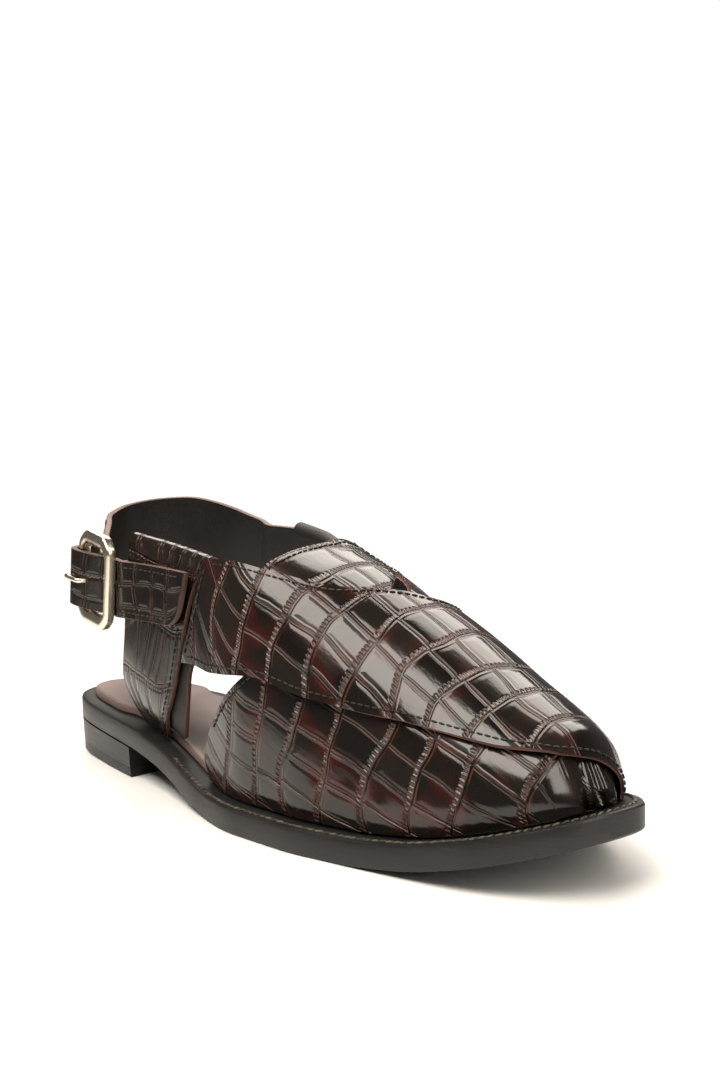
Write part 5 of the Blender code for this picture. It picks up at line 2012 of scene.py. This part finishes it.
@dataclass
class Studio:
    """Floor, lights and camera."""

    turn: float = 0.7532354
    pitch: float = 0.1087887
    roll: float = -0.0192111
    place: tuple[float, float, float] = (0.555595, -0.362290, 0.157202)
    lens: float = 50.0
    white: float = 1.05
    warm: tuple[float, float, float] = (1.0, 0.93, 0.84)
    wall: float = 0.12
    roof: float = 0.05

    def camera(self) -> None:
        """Camera of the photo."""
        data = bpy.data.cameras.new("photo_camera")
        data.sensor_fit = "VERTICAL"
        data.sensor_height = 36.0
        data.lens = self.lens
        made = bpy.data.objects.new("photo_camera", data)
        bpy.context.scene.collection.objects.link(made)
        look = Vector(
            (
                -math.cos(self.turn) * math.cos(self.pitch),
                math.sin(self.turn) * math.cos(self.pitch),
                -math.sin(self.pitch),
            )
        )
        right = Vector((math.sin(self.turn), math.cos(self.turn), 0.0))
        up = right.cross(look)
        side = right * math.cos(self.roll) + up * math.sin(self.roll)
        top = up * math.cos(self.roll) - right * math.sin(self.roll)
        pose = Matrix((side, top, -look)).transposed().to_4x4()
        pose.translation = Vector(self.place) + Vector(SHIFT)
        made.matrix_world = pose
        bpy.context.scene.camera = made

    def light(
        self,
        name: str,
        place: Sequence[float],
        target: Sequence[float],
        size: tuple[float, float],
        power: float,
    ) -> None:
        """Rectangular soft light."""
        data = bpy.data.lights.new(name, "AREA")
        data.shape = "RECTANGLE"
        data.size, data.size_y = size
        data.energy = power
        data.color = self.warm
        made = bpy.data.objects.new(name, data)
        bpy.context.scene.collection.objects.link(made)
        made.location = place
        aim = Vector(target) - Vector(place)
        made.rotation_euler = aim.to_track_quat("-Z", "Y").to_euler()

    def plane(self, name: str, reach: float, level: float, finish: bpy.types.Material) -> bpy.types.Object:
        """Square plane of the stage, centred under the shoe."""
        mesh = bpy.data.meshes.new(name)
        signs = ((-1, -1), (1, -1), (1, 1), (-1, 1))
        corners = [(reach * x, reach * y, level) for x, y in signs]
        mesh.from_pydata(corners, [], [(0, 1, 2, 3)])
        mesh.materials.append(finish)
        made = bpy.data.objects.new(name, mesh)
        bpy.context.scene.collection.objects.link(made)
        return made

    def build(self, palette: Palette) -> None:
        """Set the stage."""
        self.plane("sweep", 1.2, 0.0, palette.floor)
        paper = self.plane("paper", 6.0, -0.003, palette.paper)
        paper.visible_glossy = False
        paper.visible_diffuse = False
        paper.visible_shadow = False
        world = bpy.data.worlds.new("studio")
        world.use_nodes = True
        sky = Graph(world.node_tree)
        where = sky.node("ShaderNodeTexCoord")
        _, _, rise = sky.split(where.outputs["Generated"])
        shader = world.node_tree.nodes["Background"]
        shader.inputs["Color"].default_value = (1.0, 1.0, 1.0, 1.0)
        room = sky.ramp(rise, 0.62, 0.30) * (self.wall - self.roof) + self.roof
        seen = Value(sky, sky.node("ShaderNodeLightPath").outputs["Is Camera Ray"])
        sky.feed(shader.inputs["Strength"], seen * self.white + (1.0 - seen) * room)
        bpy.context.scene.world = world
        bpy.context.scene.view_settings.view_transform = "Standard"
        self.light("key", (-0.05, -0.55, 1.15), (0.02, 0.0, 0.04), (1.30, 0.70), 23.0)
        self.light("front", (1.05, 0.05, 0.75), (0.08, 0.0, 0.03), (0.50, 1.00), 9.0)
        self.light("rear", (-0.55, 0.75, 0.95), (0.0, 0.0, 0.05), (1.40, 0.80), 16.0)
        self.camera()


def main() -> None:
    """Build the shoe's looks and the studio."""
    logging.basicConfig(level=logging.INFO)
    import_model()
    palette = Palette()
    step = Quality.FULL.value
    upper = Upper()
    buckle = Buckle()
    straps = Straps(upper, buckle)
    bottom = Bottom()
    black = StitchTree(palette.black_thread)
    pale = StitchTree(palette.welt_thread)
    groups = (
        (Slot.CROC, upper.build(step, palette) + upper.stitches(black)),
        (Slot.SOLE, [bottom.sole(palette), bottom.heel(palette), bottom.stitches(pale)]),
        (Slot.INSOLE, [bottom.insole(palette)]),
        (Slot.CROC, straps.sides(palette)),
        (Slot.LINING, [straps.heel(palette), straps.billet_piece(palette)]),
        (Slot.CROC, [straps.stitches(black)]),
        (Slot.METAL, buckle.build(palette)),
    )
    for slot, pieces in groups:
        for piece in pieces:
            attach(piece, "root")
            LOG.info("%s: %d faces", piece.name, len(piece.data.polygons))
    Studio().build(palette)


if __name__ == "__main__":
    main()
